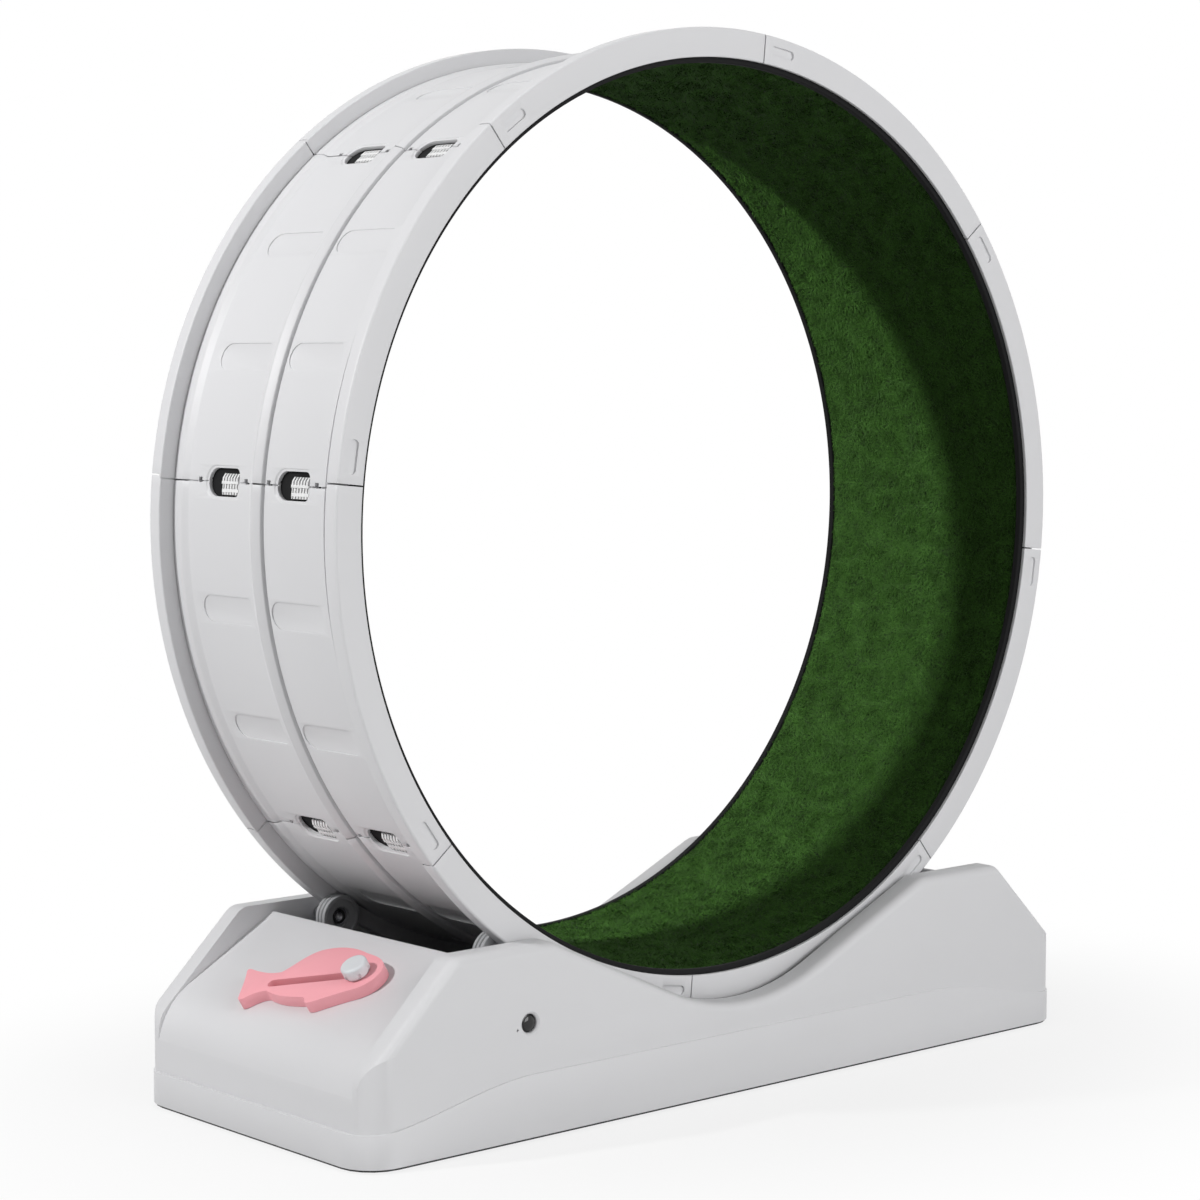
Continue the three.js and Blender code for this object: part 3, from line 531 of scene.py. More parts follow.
def trough_shade_group():
    """How deep a point lies in the trough of the base, as the mask of the painted shade there: 1 on its
    floor and low walls, 0 outside.
    """
    group, given, out = node_group(
        "Trough shade mask", {"Half length": 0.276, "Half width": 0.131, "Low": 0.085, "High": 0.13},
        ("Depth",))
    parts = add(group, "ShaderNodeSeparateXYZ", {"Vector": object_place(group)}).outputs
    within = [calculated(group, "LESS_THAN", calculated(group, "ABSOLUTE", parts[axis]), given[label])
              for axis, label in (("X", "Half length"), ("Y", "Half width"))]
    fade = add(group, "ShaderNodeMapRange",
               {"Value": parts["Z"], "From Min": given["High"], "From Max": given["Low"]},
               interpolation_type="SMOOTHSTEP").outputs["Result"]
    both = calculated(group, "MULTIPLY", *within)
    feed(group, out, {"Depth": calculated(group, "MULTIPLY", both, fade)})
    return group


def turf_group():
    """Artificial grass: patches of darker and lighter green, and a change from blade to blade."""
    group, given, out = node_group(
        "Turf colour", {"Colour": (0.03, 0.11, 0.015, 1.0), "Patch": 0.5, "Blade": 0.5},
        ("Colour", "Height"))
    place = object_place(group)
    patch, blade = noise(group, place, 60.0, 4.0), noise(group, place, 520.0, 1.0)
    changes = [calculated(group, "MULTIPLY", signed(group, source), given[label])
               for source, label in ((patch, "Patch"), (blade, "Blade"))]
    bright = calculated(group, "MULTIPLY_ADD", calculated(group, "ADD", *changes), 2.4, 1.0)
    feed(group, out, {"Colour": scaled_colour(group, given["Colour"], bright), "Height": blade})
    return group


GROUP_MAKERS = {"Moulded plastic": moulded_group, "Trough shade mask": trough_shade_group,
                "Turf colour": turf_group}


def group_node(tree, name, inputs=None):
    """A node of one of the groups, made when it is first asked for."""
    group = bpy.data.node_groups.get(name) or GROUP_MAKERS[name]()
    return add(tree, "ShaderNodeGroup", inputs, node_tree=group).outputs


def node_of(tree, kind):
    """The first node of a kind in a tree."""
    return next(node for node in tree.nodes if node.type == kind)


def blank_material(name):
    """A node material with only its Principled shader and output."""
    material = bpy.data.materials.new(name)
    material.use_nodes = True
    return material, material.node_tree, node_of(material.node_tree, "BSDF_PRINCIPLED")


def add_bump(tree, shader, height, strength, distance):
    """A Bump node from a height to the shader's normal."""
    bump = add(tree, "ShaderNodeBump", {"Height": height, "Strength": strength, "Distance": distance})
    feed(tree, shader, {"Normal": bump.outputs["Normal"]})


def moulded_material(name, tint, roughness, change, grain, bump, specular):
    """A plastic or rubber that takes its colour, gloss and grain from the moulded group."""
    material, tree, shader = blank_material(name)
    colours = bpy.context.scene.exercise_wheel_finishes
    look = group_node(tree, "Moulded plastic", {
        "Colour": getattr(colours, tint), "Shade change": change, "Roughness": roughness,
        "Grain size": grain})
    feed(tree, shader, {"Base Color": look["Colour"], "Roughness": look["Roughness"],
                        "Specular IOR Level": specular})
    add_bump(tree, shader, look["Height"], bump, 0.1 * MM)
    return material


def base_material_painted_shade(name, *values):
    """The base's plastic with painted shade: painted near black where the trough lies in the dark under the
    wheel.
    """
    material = moulded_material(name, *values)
    tree = material.node_tree
    shader = node_of(tree, "BSDF_PRINCIPLED")
    # painted shade: the near-black trough colour is mixed over the plastic on the trough's floor and low
    # walls
    mix = add(tree, "ShaderNodeMix", {
        "Factor": group_node(tree, "Trough shade mask")["Depth"],
        "A": shader.inputs["Base Color"].links[0].from_socket,
        "B": bpy.context.scene.exercise_wheel_finishes.hollow}, data_type="RGBA")
    feed(tree, shader, {"Base Color": mix.outputs["Result"]})
    return material


def turf_material(name, share, patch, blade, bump):
    """Green of the turf at a share of its brightness, with little sheen."""
    material, tree, shader = blank_material(name)
    green = bpy.context.scene.exercise_wheel_finishes.turf
    look = group_node(tree, "Turf colour", {
        "Colour": [part * share for part in green[:3]] + [1.0], "Patch": patch, "Blade": blade})
    feed(tree, shader, {"Base Color": look["Colour"], "Roughness": 0.62, "Specular IOR Level": 0.08})
    add_bump(tree, shader, look["Height"], bump, 2 * MM)
    return material


def steel_material(name):
    """Bright turned steel whose gloss changes in fine specks."""
    material, tree, shader = blank_material(name)
    specks = noise(tree, object_place(tree), 900.0, 2.0)
    rough = add(tree, "ShaderNodeMapRange", {"Value": specks, "To Min": 0.24, "To Max": 0.42})
    feed(tree, shader, {"Base Color": (0.56, 0.56, 0.58, 1.0), "Metallic": 1.0,
                        "Roughness": rough.outputs["Result"]})
    add_bump(tree, shader, specks, 0.1, 0.1 * MM)
    return material


# finish: material name, maker, and then for the moulded ones the colour setting, roughness, change
# of shade, grain size, bump and specular level, and for the turf the brightness, patches, change
# from blade to blade and bump
FINISHES = {
    "plastic": ("Grey moulded plastic", moulded_material, "plastic", 0.46, 0.03, 1500.0, 0.22, 0.42),
    # the base's plastic carries the painted shade of the trough
    "base": ("Grey base plastic with painted shade", base_material_painted_shade, "plastic", 0.46, 0.03, 1500.0, 0.22, 0.42),
    "clip": ("White clip plastic", moulded_material, "clip", 0.42, 0.04, 1500.0, 0.15, 0.5),
    "fish": ("Pink plastic", moulded_material, "fish", 0.48, 0.05, 1300.0, 0.25, 0.4),
    "knob": ("Knob plastic", moulded_material, "knob", 0.42, 0.05, 1300.0, 0.2, 0.5),
    "rubber": ("Grey roller rubber", moulded_material, "rubber", 0.62, 0.08, 1800.0, 0.3, 0.35),
    "foam": ("Black foam backing", moulded_material, "dark", 0.85, 0.3, 2600.0, 0.5, 0.25),
    "black": ("Black plastic", moulded_material, "black", 0.55, 0.1, 1500.0, 0.3, 0.5),
    "foot": ("Black foot rubber", moulded_material, "dark", 0.8, 0.2, 2000.0, 0.4, 0.3),
    "gloss": ("Gloss black", moulded_material, "gloss", 0.08, 0.1, 400.0, 0.02, 0.5),
    "steel": ("Turned steel", steel_material),
    "turf": ("Turf blades", turf_material, 1.0, 0.55, 0.5, 0.2),
    "thatch": ("Turf ground", turf_material, 0.45, 0.6, 0.8, 0.9),
}


def material_of(finish):
    """One of the product's materials, made when it is first asked for."""
    name, maker, *values = FINISHES[finish]
    return bpy.data.materials.get(name) or maker(name, *values)


# ---------- wheel ----------
def rim_corners(size):
    """The rim's closed section as corners (radius, y, rounding), with the plane where a segment's
    ends step: out over the back half and in along its hollow, and the front half the other way round.
    The back half has soft flanks, and the front half creases beside the ridge and the track."""
    flange_in = size.half_width - size.flange_width
    track_in = flange_in - size.track_width
    step_plane = flange_in + size.flange_wall / 2
    inner, hollow = size.half_width - size.flange_wall, size.radius - size.flange_wall
    panel, low = size.panel_radius, size.panel_radius - size.crease
    track, foot = size.track_radius, size.track_radius - size.crease
    ridge, crest = size.ridge_half, size.panel_radius + size.ridge_height
    outer = [
        (track, flange_in - 1.2 * MM, 0),
        (foot, flange_in - 0.9 * MM, 0),
        (foot, flange_in, 0),
        (size.radius, flange_in, 1.4 * MM),
        (size.radius, step_plane - 0.1 * MM, 0),
        (size.radius, step_plane + 0.1 * MM, 0),
        (size.radius, size.half_width, 2.2 * MM),
        (size.lip_radius, size.half_width, 0.8 * MM),
        (size.lip_radius, inner, 0.5 * MM),
        (hollow, inner, 1 * MM),
        (hollow, flange_in + size.flange_wall, 1 * MM),
        (size.shell_radius, flange_in + size.flange_wall, 1 * MM),
    ]
    back = [
        (crest, 1.0 * MM, 5 * MM),
        (panel, ridge - 0.5 * MM, 6 * MM),
        (panel, track_in - 1.6 * MM, 5 * MM),
        (track, track_in + 4.4 * MM, 5 * MM),
    ]
    front = [
        (crest, 1.0 * MM, 5 * MM),
        (panel + 2.0 * MM, ridge - 0.6 * MM, 1.5 * MM),
        (low, ridge - 0.1 * MM, 0),
        (low, ridge + 1.2 * MM, 0),
        (panel, ridge + 1.4 * MM, 0.4 * MM),
        (panel, track_in - 6.4 * MM, 0.4 * MM),
        (low, track_in - 6.1 * MM, 0),
        (low, track_in - 3.4 * MM, 0),
        (panel, track_in - 3.1 * MM, 0),
        (panel, track_in + 0.4 * MM, 0),
        (track, track_in + 1.4 * MM, 0.8 * MM),
    ]
    return back + outer + reflected(front + outer, 1), step_plane


def rim_segment_solid(size):
    """One segment of the rim about the angle 0: the point at share t of section point j is at the
    angle start_j + t * span, where start_j is stepped back by the joint step in the flanges."""
    corners, step_plane = rim_corners(size)
    section = filleted(corners, step=15.0)
    half = math.pi / size.segments
    gap, back, jog = (width / size.radius for width in (size.seam / 2, size.joint_step, size.jog))
    steps = 45
    radius, y = section.T
    on_ridge = (y > 0) & (y < size.ridge_half) & (radius > size.panel_radius)
    start = -half + gap - back * (np.abs(y) > step_plane) + jog * on_ridge
    around = start[None, :] + np.linspace(0, 2 * (half - gap), steps + 1)[:, None]
    return stacked(stood_on_rim(np.column_stack([section, np.zeros(len(section))]), around))


def standing_prism(corners, around, across, low, high, flare=0.0):
    """Prism that stands on the rim at an angle: outline x runs round the rim, outline y along the
    axle from across, and its height from radius low to high, where it is wider by flare."""
    layers = []
    for inset, level in ((0.0, low), (-flare, high)):
        outline = filleted(corners, inset, 15.0)
        layers.append(np.column_stack([np.full(len(outline), level), outline[:, 1] + across,
                                       outline[:, 0]]))
    points, faces = stacked(layers)
    return stood_on_rim(points, around), faces


def pill(width, height, square):
    """Outline corners of a pill across the rim, round at +Y and nearly square at -Y."""
    x, y, tip = height / 2, width / 2, height / 2 - 0.02 * MM
    return [(-x, -y, square), (x, -y, square), (x, y, tip), (-x, y, tip)]


def rim_cutters(size):
    """Everything cut out of one segment: half windows with a sloping rim, notches in the seam,
    shallow pads and the slots in the flange faces."""
    half = math.pi / size.segments
    panel, above = size.panel_radius, size.panel_radius + 9 * MM
    through = (size.shell_radius - 4 * MM, above)
    window = pill(size.window_length, size.window_height, 5 * MM)
    mouth = pill(size.window_length + 3 * MM, size.window_height + 3 * MM, 6 * MM)
    notch = rectangle((-3.4 * MM, -2.3 * MM), (0.8 * MM, 2.3 * MM))
    pad = pill(size.pad_length, size.pad_height, 5 * MM)
    sides = (-size.window_offset, size.window_offset)
    solids = []
    for end in (-half, half):
        for y in sides:
            solids.append(standing_prism(window, end, y, *through))
            solids.append(standing_prism(mouth, end, y + 0.6 * MM, panel - 1.1 * MM, panel + 2 * MM,
                                         size.window_bevel))
            for offset in (-size.notch_offset, size.notch_offset):
                solids.append(standing_prism(notch, end, y + offset, *through))
    for third in (-half / 3, half / 3):
        for y in sides:
            solids.append(standing_prism(pad, third, y, panel - size.pad_depth, above))
    slot = rectangle((-3.9 * MM, -13.0 * MM), (3.9 * MM, 13.0 * MM), 3.6 * MM)
    points, faces = slab(slot, -size.slot_depth, 3 * MM, 2, step=15.0)
    radial, round_rim, out = points.T
    radial = (size.radius + size.lip_radius) / 2 + radial
    around = half - (size.joint_step + size.slot_offset) / size.radius
    for side in (-1, 1):
        across = side * (size.half_width + out)
        solids.append((stood_on_rim(np.column_stack([radial, across, round_rim]), around), faces))
    return solids


def clip_solids(size):
    """The snap clip in a window, on the rim at the angle 0: a bar along the seam, a crossbar on its
    +Z side joined to it by short teeth, and fins on its -Z side whose tops bow outwards."""
    start = -size.window_length / 2 + 0.8 * MM
    end = start + size.clip_span
    floor = size.shell_radius + 0.4 * MM
    tops = 3.6 * MM - (size.window_height / 2 - 0.5 * MM)
    pitch = size.clip_span / size.fins
    solids = [block((floor, start, -1.1 * MM), (floor + 3.1 * MM, end, 1.1 * MM)),
              block((floor, start, 5.0 * MM), (floor + 2.4 * MM, end, 7.6 * MM))]
    fin = [(floor, tops), (floor + 1.2 * MM, tops), (floor + 3.2 * MM, tops + 3.4 * MM, 2.4 * MM),
           (floor + 3.2 * MM, 0.6 * MM), (floor, 0.6 * MM)]
    for i in range(size.fins):
        y = start + (i + 0.5) * pitch
        solids.append(slab(fin, y - 0.25 * pitch, y + 0.25 * pitch, 1))
    for i in range(size.fins + 1):
        y = start + i * pitch
        low, high = max(start, y - 0.27 * pitch), min(end, y + 0.27 * pitch)
        solids.append(block((floor, low, 0.5 * MM), (floor + 2.2 * MM, high, 9.6 * MM)))
    return solids


class WHEEL_OT_rim_segments(bpy.types.Operator):
    """Makes the moulded segments of the rim with their windows, pads, slots and seams"""
    bl_idname = "exercise_wheel.rim_segments"
    bl_label = "Rim segments"

    def execute(self, context):
        size = context.scene.exercise_wheel_wheel
        model = scratch(rim_segment_solid(size))
        combined(model, "DIFFERENCE", *rim_cutters(size))
        rounded(model, size.edge, 38.0)
        mesh = released(model)
        for i in range(size.segments):
            turn = turned_about_axle(size.clock + 2 * math.pi / size.segments * (i + 0.5))
            piece(f"rim_segment_{i + 1}", turned_copy(mesh, turn), "plastic", "wheel",
                  [f"wheel_segment_{i + 1}"])
        return {"FINISHED"}


class WHEEL_OT_snap_clips(bpy.types.Operator):
    """Makes the ribbed snap clips in the windows"""
    bl_idname = "exercise_wheel.snap_clips"
    bl_label = "Snap clips"

    def execute(self, context):
        size = context.scene.exercise_wheel_wheel
        first, *others = clip_solids(size)
        model = scratch(first)
        combined(model, "UNION", *others)
        clean(model)
        mesh = released(model)
        for i in range(size.segments):
            turn = turned_about_axle(size.clock + 2 * math.pi / size.segments * i)
            for side, across in (("front", -size.window_offset), ("back", size.window_offset)):
                piece(f"snap_clip_{side}_{i + 1}",
                      turned_copy(mesh, turn @ Matrix.Translation((0, across, 0))), "clip", "wheel",
                      [f"joint_clip_{side}_{i + 1}"])
        return {"FINISHED"}


def ring_solid(corners):
    """Closed section of (radius, y, rounding) corners turned once round the wheel's axle."""
    return lathe(filleted(corners, step=18.0), 256, (0, 0, AXLE_HEIGHT))


def turf_blades(size, part, root):
    """Blades of the turf over one segment. Blade k stands at a random angle t and place y, and is a
    pyramid on a triangle at radius root: its tip is at root - length * cos(lean) inwards, and
    length * sin(lean) along the direction of the nap, which swirls with slow sine waves of t and y."""
    rng = np.random.default_rng(71 + part)
    count = size.blades // 1
    t = (part + rng.random(count)) * 2 * math.pi / size.segments
    reach = size.turf_half_width - 1.6 * MM
    y = rng.uniform(-reach, reach, count)
    swirl = (2.2 * np.sin(37 * t + 60 * y) + 1.7 * np.sin(23 * t - 95 * y + 1.3)
             + 1.5 * np.sin(61 * t + 33 * y + 0.5))
    way = swirl + rng.normal(0, 1.3, count)
    lean = np.clip(rng.normal(1.16, 0.12, count), 0.7, 1.45)
    tall = size.pile_length * rng.uniform(0.7, 1.1, count)
    wide = rng.uniform(0.45, 0.8, count) * MM
    limit = size.turf_half_width - 0.2 * MM
    tip_y = np.clip(y + tall * np.sin(lean) * np.cos(way), -limit, limit)
    tip = np.stack([root - tall * np.cos(lean), tip_y, tall * np.sin(lean) * np.sin(way)], 1)
    turn = rng.random(count) * 2 * math.pi
    foot = [np.stack([np.full(count, root), y + wide * np.cos(a), wide * np.sin(a)], 1)
            for a in (turn, turn + 2 * math.pi / 3, turn + 4 * math.pi / 3)]
    points = stood_on_rim(np.stack([*foot, tip], 1), t[:, None]) + (0, 0, AXLE_HEIGHT)
    sides = np.array([[0, 1, 3], [1, 2, 3], [2, 0, 3], [0, 2, 1]])
    faces = (4 * np.arange(count)[:, None, None] + sides).reshape(-1, 3)
    a, b, c, top = points[0]
    if np.cross(b - a, top - a) @ ((a + b + top) / 3 - c) < 0:
        faces = faces[:, ::-1]
    return points.reshape(-1, 3), np.ascontiguousarray(faces)


class WHEEL_OT_lining(bpy.types.Operator):
    """Makes the black backing and the turf: its ground and its blades"""
    bl_idname = "exercise_wheel.lining"
    bl_label = "Backing and turf"

    def execute(self, context):
        size = context.scene.exercise_wheel_wheel
        outer = size.shell_radius - FIT
        floor = outer - size.mat_thickness
        edge = size.half_width - size.flange_wall - FIT
        inside = edge - size.binding
        rim = size.binding_radius
        half = [(outer, edge, 0.6 * MM), (rim, edge, 1.2 * MM), (rim, inside, 0.8 * MM),
                (floor, inside, 0)]
        piece("backing", ring_solid(half + reflected(half, 1)), "foam", "wheel", ["mat_backing"])
        ground = floor - FIT
        root = ground - size.turf_ground
        span = size.turf_half_width
        piece("turf_ground", ring_solid(rectangle((root, -span), (ground, span))), "thatch", "wheel",
              ["turf_mat"])
        for i in range(size.segments):
            mesh = triangle_mesh(f"turf_blades_{i + 1}", *turf_blades(size, i, root + 0.4 * MM))
            piece(f"turf_blades_{i + 1}", mesh, "turf", "wheel").data.shade_flat()
        return {"FINISHED"}


# ---------- base ----------
def wall_corners(size):
    """Side view of the base: end face, end slope, peak, and the dip for the wheel."""
    half = [(size.half_length, -40 * MM), (size.half_length - size.shoulder_in, size.shoulder, 30 * MM),
            (size.peak_out, size.peak, 18 * MM), (size.peak_in, size.peak, 25 * MM)]
    return half + [(0, size.dip, size.dip_radius)] + reflected(half)


def channel_corners(size):
    """Side view of the open space over the trough and the two decks, down to below the rounded
    lower edge of a deck."""
    slope = math.tan(size.slope)
    end, outside = size.deck_end, 460 * MM
    end_height = size.deck_top - (end - size.deck_edge) * slope
    edge = size.deck_top + (size.deck_edge - size.trough) * slope
    drop = 40.6 * MM
    half = [(size.trough, size.trough_floor, 6 * MM), (size.trough, edge, 4 * MM),
            (end, end_height, 58 * MM), (end + drop * 0.04, end_height - drop),
            (outside, end_height - drop), (outside, size.peak + 60 * MM)]
    return half + reflected(half)


def band_outline(size):
    """Side view of the lower band: its top is low at the ends and rises to the middle in an S-curve
    h(t) = low + (high - low) * t * t * (3 - 2 t)."""
    low, high = size.band_low, size.band_high
    start, end, outside = 394 * MM, 232 * MM, 410 * MM
    t = np.linspace(0, 1, 25)
    top = zip(start + (end - start) * t, low + (high - low) * t * t * (3 - 2 * t))
    half = [(outside, -40 * MM), (outside, low), *top]
    return half + reflected(half)


def centre_of(node):
    """Middle of a CAD node's box at rest."""
    low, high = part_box(node)
    return [(a + b) / 2 for a, b in zip(low, high)]


class WHEEL_OT_base_moulding(bpy.types.Operator):
    """Makes the base moulding with its walls, decks, trough and lower band"""
    bl_idname = "exercise_wheel.base_moulding"
    bl_label = "Base moulding"

    def execute(self, context):
        size = context.scene.exercise_wheel_base
        x, y = size.half_length, size.half_width
        inner = y - size.wall
        step = 4.0
        plan = rectangle((-x, -y), (x, y), size.corner)
        channel = channel_corners(size)
        body = scratch(slab(wall_corners(size), -y + size.band, y - size.band, 1, size.band, size.edge,
                            step))
        combined(body, "INTERSECT",
                 slab(plan, size.bottom, size.peak + 20 * MM, 2, size.band, step=step))
        combined(body, "DIFFERENCE", slab(channel, -inner, inner, 1, step=step))
        rounded(body, size.soft_edge, 30.0, 3, 2e-5)
        band = scratch(slab(band_outline(size), -y - 5 * MM, y + 5 * MM, 1))
        combined(band, "INTERSECT", slab(plan, size.bottom + 0.01 * MM, 80 * MM, 2, step=step))
        rounded(band, 0.5 * MM, 40.0, merge=2e-5)
        inner = inner - 1 * MM
        combined(band, "DIFFERENCE", slab(channel, -inner, inner, 1, step=step))
        combined(body, "UNION", band)
        x, _, z = centre_of("side_plug")
        mouth = mm((0, -2), (9.6, -2), (9.6, 1.2), (8.4, 1.9), (7.6, 3), (7.4, 4.2), (7.4, 12.2), (0, 12.2))
        dot = mm((0, -2), (1.1, -2), (1.1, 3), (0, 3))
        combined(body, "DIFFERENCE", lathe(mouth, 64, (x, -y, z)),
                 lathe(dot, 20, (x - 13 * MM, -y, z - 3.5 * MM)))
        clean(body)
        piece("base_moulding", released(body), "base", "base", ["base_shell"], 26.0)
        return {"FINISHED"}


def dress(node, finish):
    """Gives a CAD node that stays its material."""
    mesh = frame["nodes"][node].data
    mesh.materials.clear()
    mesh.materials.append(material_of(finish))


class WHEEL_OT_base_fittings(bpy.types.Operator):
    """Makes the plug, the rubber feet and the bottom plate's finish"""
    bl_idname = "exercise_wheel.base_fittings"
    bl_label = "Plug, feet and bottom plate"

    def execute(self, context):
        size = context.scene.exercise_wheel_base
        x, _, z = centre_of("side_plug")
        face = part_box("side_plug")[0][1]
        bow = [(6.2 * MM * math.sin(a), face + 1.8 * MM * (1 - math.cos(a)))
               for a in np.linspace(0.15, math.pi / 2, 10)]
        dome = [(0, face), *bow, *lifted(mm((7, 2.2), (7, 10), (0, 10)), face)]
        piece("wall_plug", lathe(dome, 48, (x, 0, z)), "gloss", "base", ["side_plug"])
        r, height = size.foot_radius, size.foot_height
        disc = [(0, 0), (r - 0.4 * MM, 0), (r, 0.4 * MM), (r, height), (0, height)]
        for i in range(1, FEET + 1):
            x, y, _ = centre_of(f"rubber_foot_{i}")
            piece(f"foot_{i}", lathe(disc, 48, (x, y, 0), Z_AXIS), "foot", "base", [f"rubber_foot_{i}"])
        dress("bottom_plate", "black")
        return {"FINISHED"}


# ---------- rollers ----------
def tyre_corners(r, front, back):
    """Section of a tyre: two grooves round the tread, a hollow hub face, and the bearing's seat."""
    groove = mm((0, -0.9, 0.3), (-1.2, -0.35, 0), (-1.2, 0.35, 0), (0, 0.9, 0.3))
    tread = [(r + dent, front + (back - front) * share + level, rounding)
             for share in (1 / 3, 2 / 3) for dent, level, rounding in groove]
    return [*lifted(mm((8.6, 1.6, 0.3), (14.2, 1.1, 0.6), (15.2, 0, 0.5)), front), (r, front, 1 * MM),
            *tread, (r, back, 1 * MM), *lifted(mm((10.9, 0, 0.4), (10.9, -7.3), (8.6, -7.3)), back)]


BEARING_CORNERS = mm(
    (4.2, -7, 0.2), (5.8, -7), (5.9, -6.5), (8.9, -6.5), (9, -7), (10.6, -7, 0.3), (10.6, 0, 0.3),
    (9, 0), (8.9, -0.5), (5.9, -0.5), (5.8, 0), (4.2, 0, 0.2))


def reach_of(node):
    """Where a CAD node starts and ends, as distances from the middle plane of the wheel."""
    low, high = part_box(node)
    return sorted((abs(low[1]), abs(high[1])))


class WHEEL_OT_rollers(bpy.types.Operator):
    """Makes the four rollers with their bearings, axles and retaining clips"""
    bl_idname = "exercise_wheel.rollers"
    bl_label = "Rollers"

    def execute(self, context):
        size = context.scene.exercise_wheel_base
        for site in ROLLER_SITES:
            x, y, z = centre_of(f"roller_{site}")
            at = ((x, 0, z), (0, math.copysign(1, y), 0))
            front, back = reach_of(f"roller_{site}")
            tyre = filleted(tyre_corners(size.tyre_radius, front, back), step=22.0)
            piece(f"tyre_{site}", lathe(tyre, 96, *at), "rubber", f"roller_{site}", [f"roller_{site}"])
            bearing = filleted(lifted(BEARING_CORNERS, back), step=30.0)
            piece(f"bearing_{site}", lathe(bearing, 72, *at), "steel", f"roller_{site}",
                  [f"roller_bearing_{site}"])
            start, end = reach_of(f"roller_axle_{site}")
            nose, collar, wall = start + 6 * MM, back + FIT, end - 17 * MM
            shaft = [(0, nose), (3.4 * MM, nose), (4 * MM, nose + 0.6 * MM), (4 * MM, collar),
                     (5.2 * MM, collar), (5.2 * MM, wall), (4 * MM, wall), (4 * MM, end), (0, end)]
            piece(f"axle_{site}", lathe(shaft, 48, *at), "steel", "base", [f"roller_axle_{site}"])
            start, end = reach_of(f"roller_retainer_{site}")
            ring = [(4.15 * MM, start, 0.2 * MM), (6 * MM, start, 0.4 * MM), (6 * MM, end, 0.4 * MM),
                    (4.15 * MM, end, 0.2 * MM)]
            piece(f"retainer_{site}", lathe(filleted(ring, step=30.0), 48, *at), "black", "base",
                  [f"roller_retainer_{site}"])
        return {"FINISHED"}


# ---------- brake ----------
def deck_matrix(heading=0.0):
    """Frame of the brake: origin at the stud on the deck, Z off the deck, X up the slope turned by
    the heading."""
    joint = JOINTS["knob_turn"]
    up, across = Vector(joint["axis"]), Vector(Y_AXIS)
    along = across.cross(up).normalized()
    turn = Matrix((along, across, up)).transposed()
    return Matrix.Translation(joint["pos_m"]) @ turn.to_4x4() @ Matrix.Rotation(heading, 4, "Z")


FISH_CURVES = (
    ((-85, -9), (-74, -16), (-62, -20), (-42, -22)),
    ((-42, -22), (-40, -24), (-38, -26), (-38, -28)),
    ((-38, -28), (-35, -31), (-32, -30), (-30, -29.5)),
    ((-30, -29.5), (-18, -25), (-6, -21), (6, -18)),
    ((6, -18), (18, -13), (23, -3), (20, 7)),
    ((20, 7), (16, 18), (4, 22), (-6, 27)),
    ((-6, 27), (-22, 37), (-40, 40), (-54, 37)),
    ((-54, 37), (-68, 33), (-73, 20), (-82, 13.5)),
    ((-82, 13.5), (-94, 12), (-106, 17), (-117, 22)),
    ((-117, 22), (-121, 23), (-120.5, 21), (-120, 19)),
    ((-120, 19), (-115, 8), (-113, -4), (-110, -14)),
    ((-110, -14), (-109, -18), (-107, -17), (-104, -16)),
    ((-104, -16), (-98, -12), (-92, -8), (-85, -9)),
)


def bezier_loop(curves, steps):
    """Points of joined cubic curves in metres: (1-t)^3 a + 3 (1-t)^2 t b + 3 (1-t) t^2 c + t^3 d."""
    t = np.linspace(0, 1, steps, endpoint=False)[:, None]
    runs = [(1 - t) ** 3 * a + 3 * (1 - t) ** 2 * t * b + 3 * (1 - t) * t ** 2 * c + t ** 3 * d
            for a, b, c, d in np.array(curves, float) * MM]
    return np.concatenate(runs)


def slot_corners(half, start, end):
    """Corners of a slot with round ends along X."""
    return rectangle((start, -half), (end, half), half - 0.01 * MM)


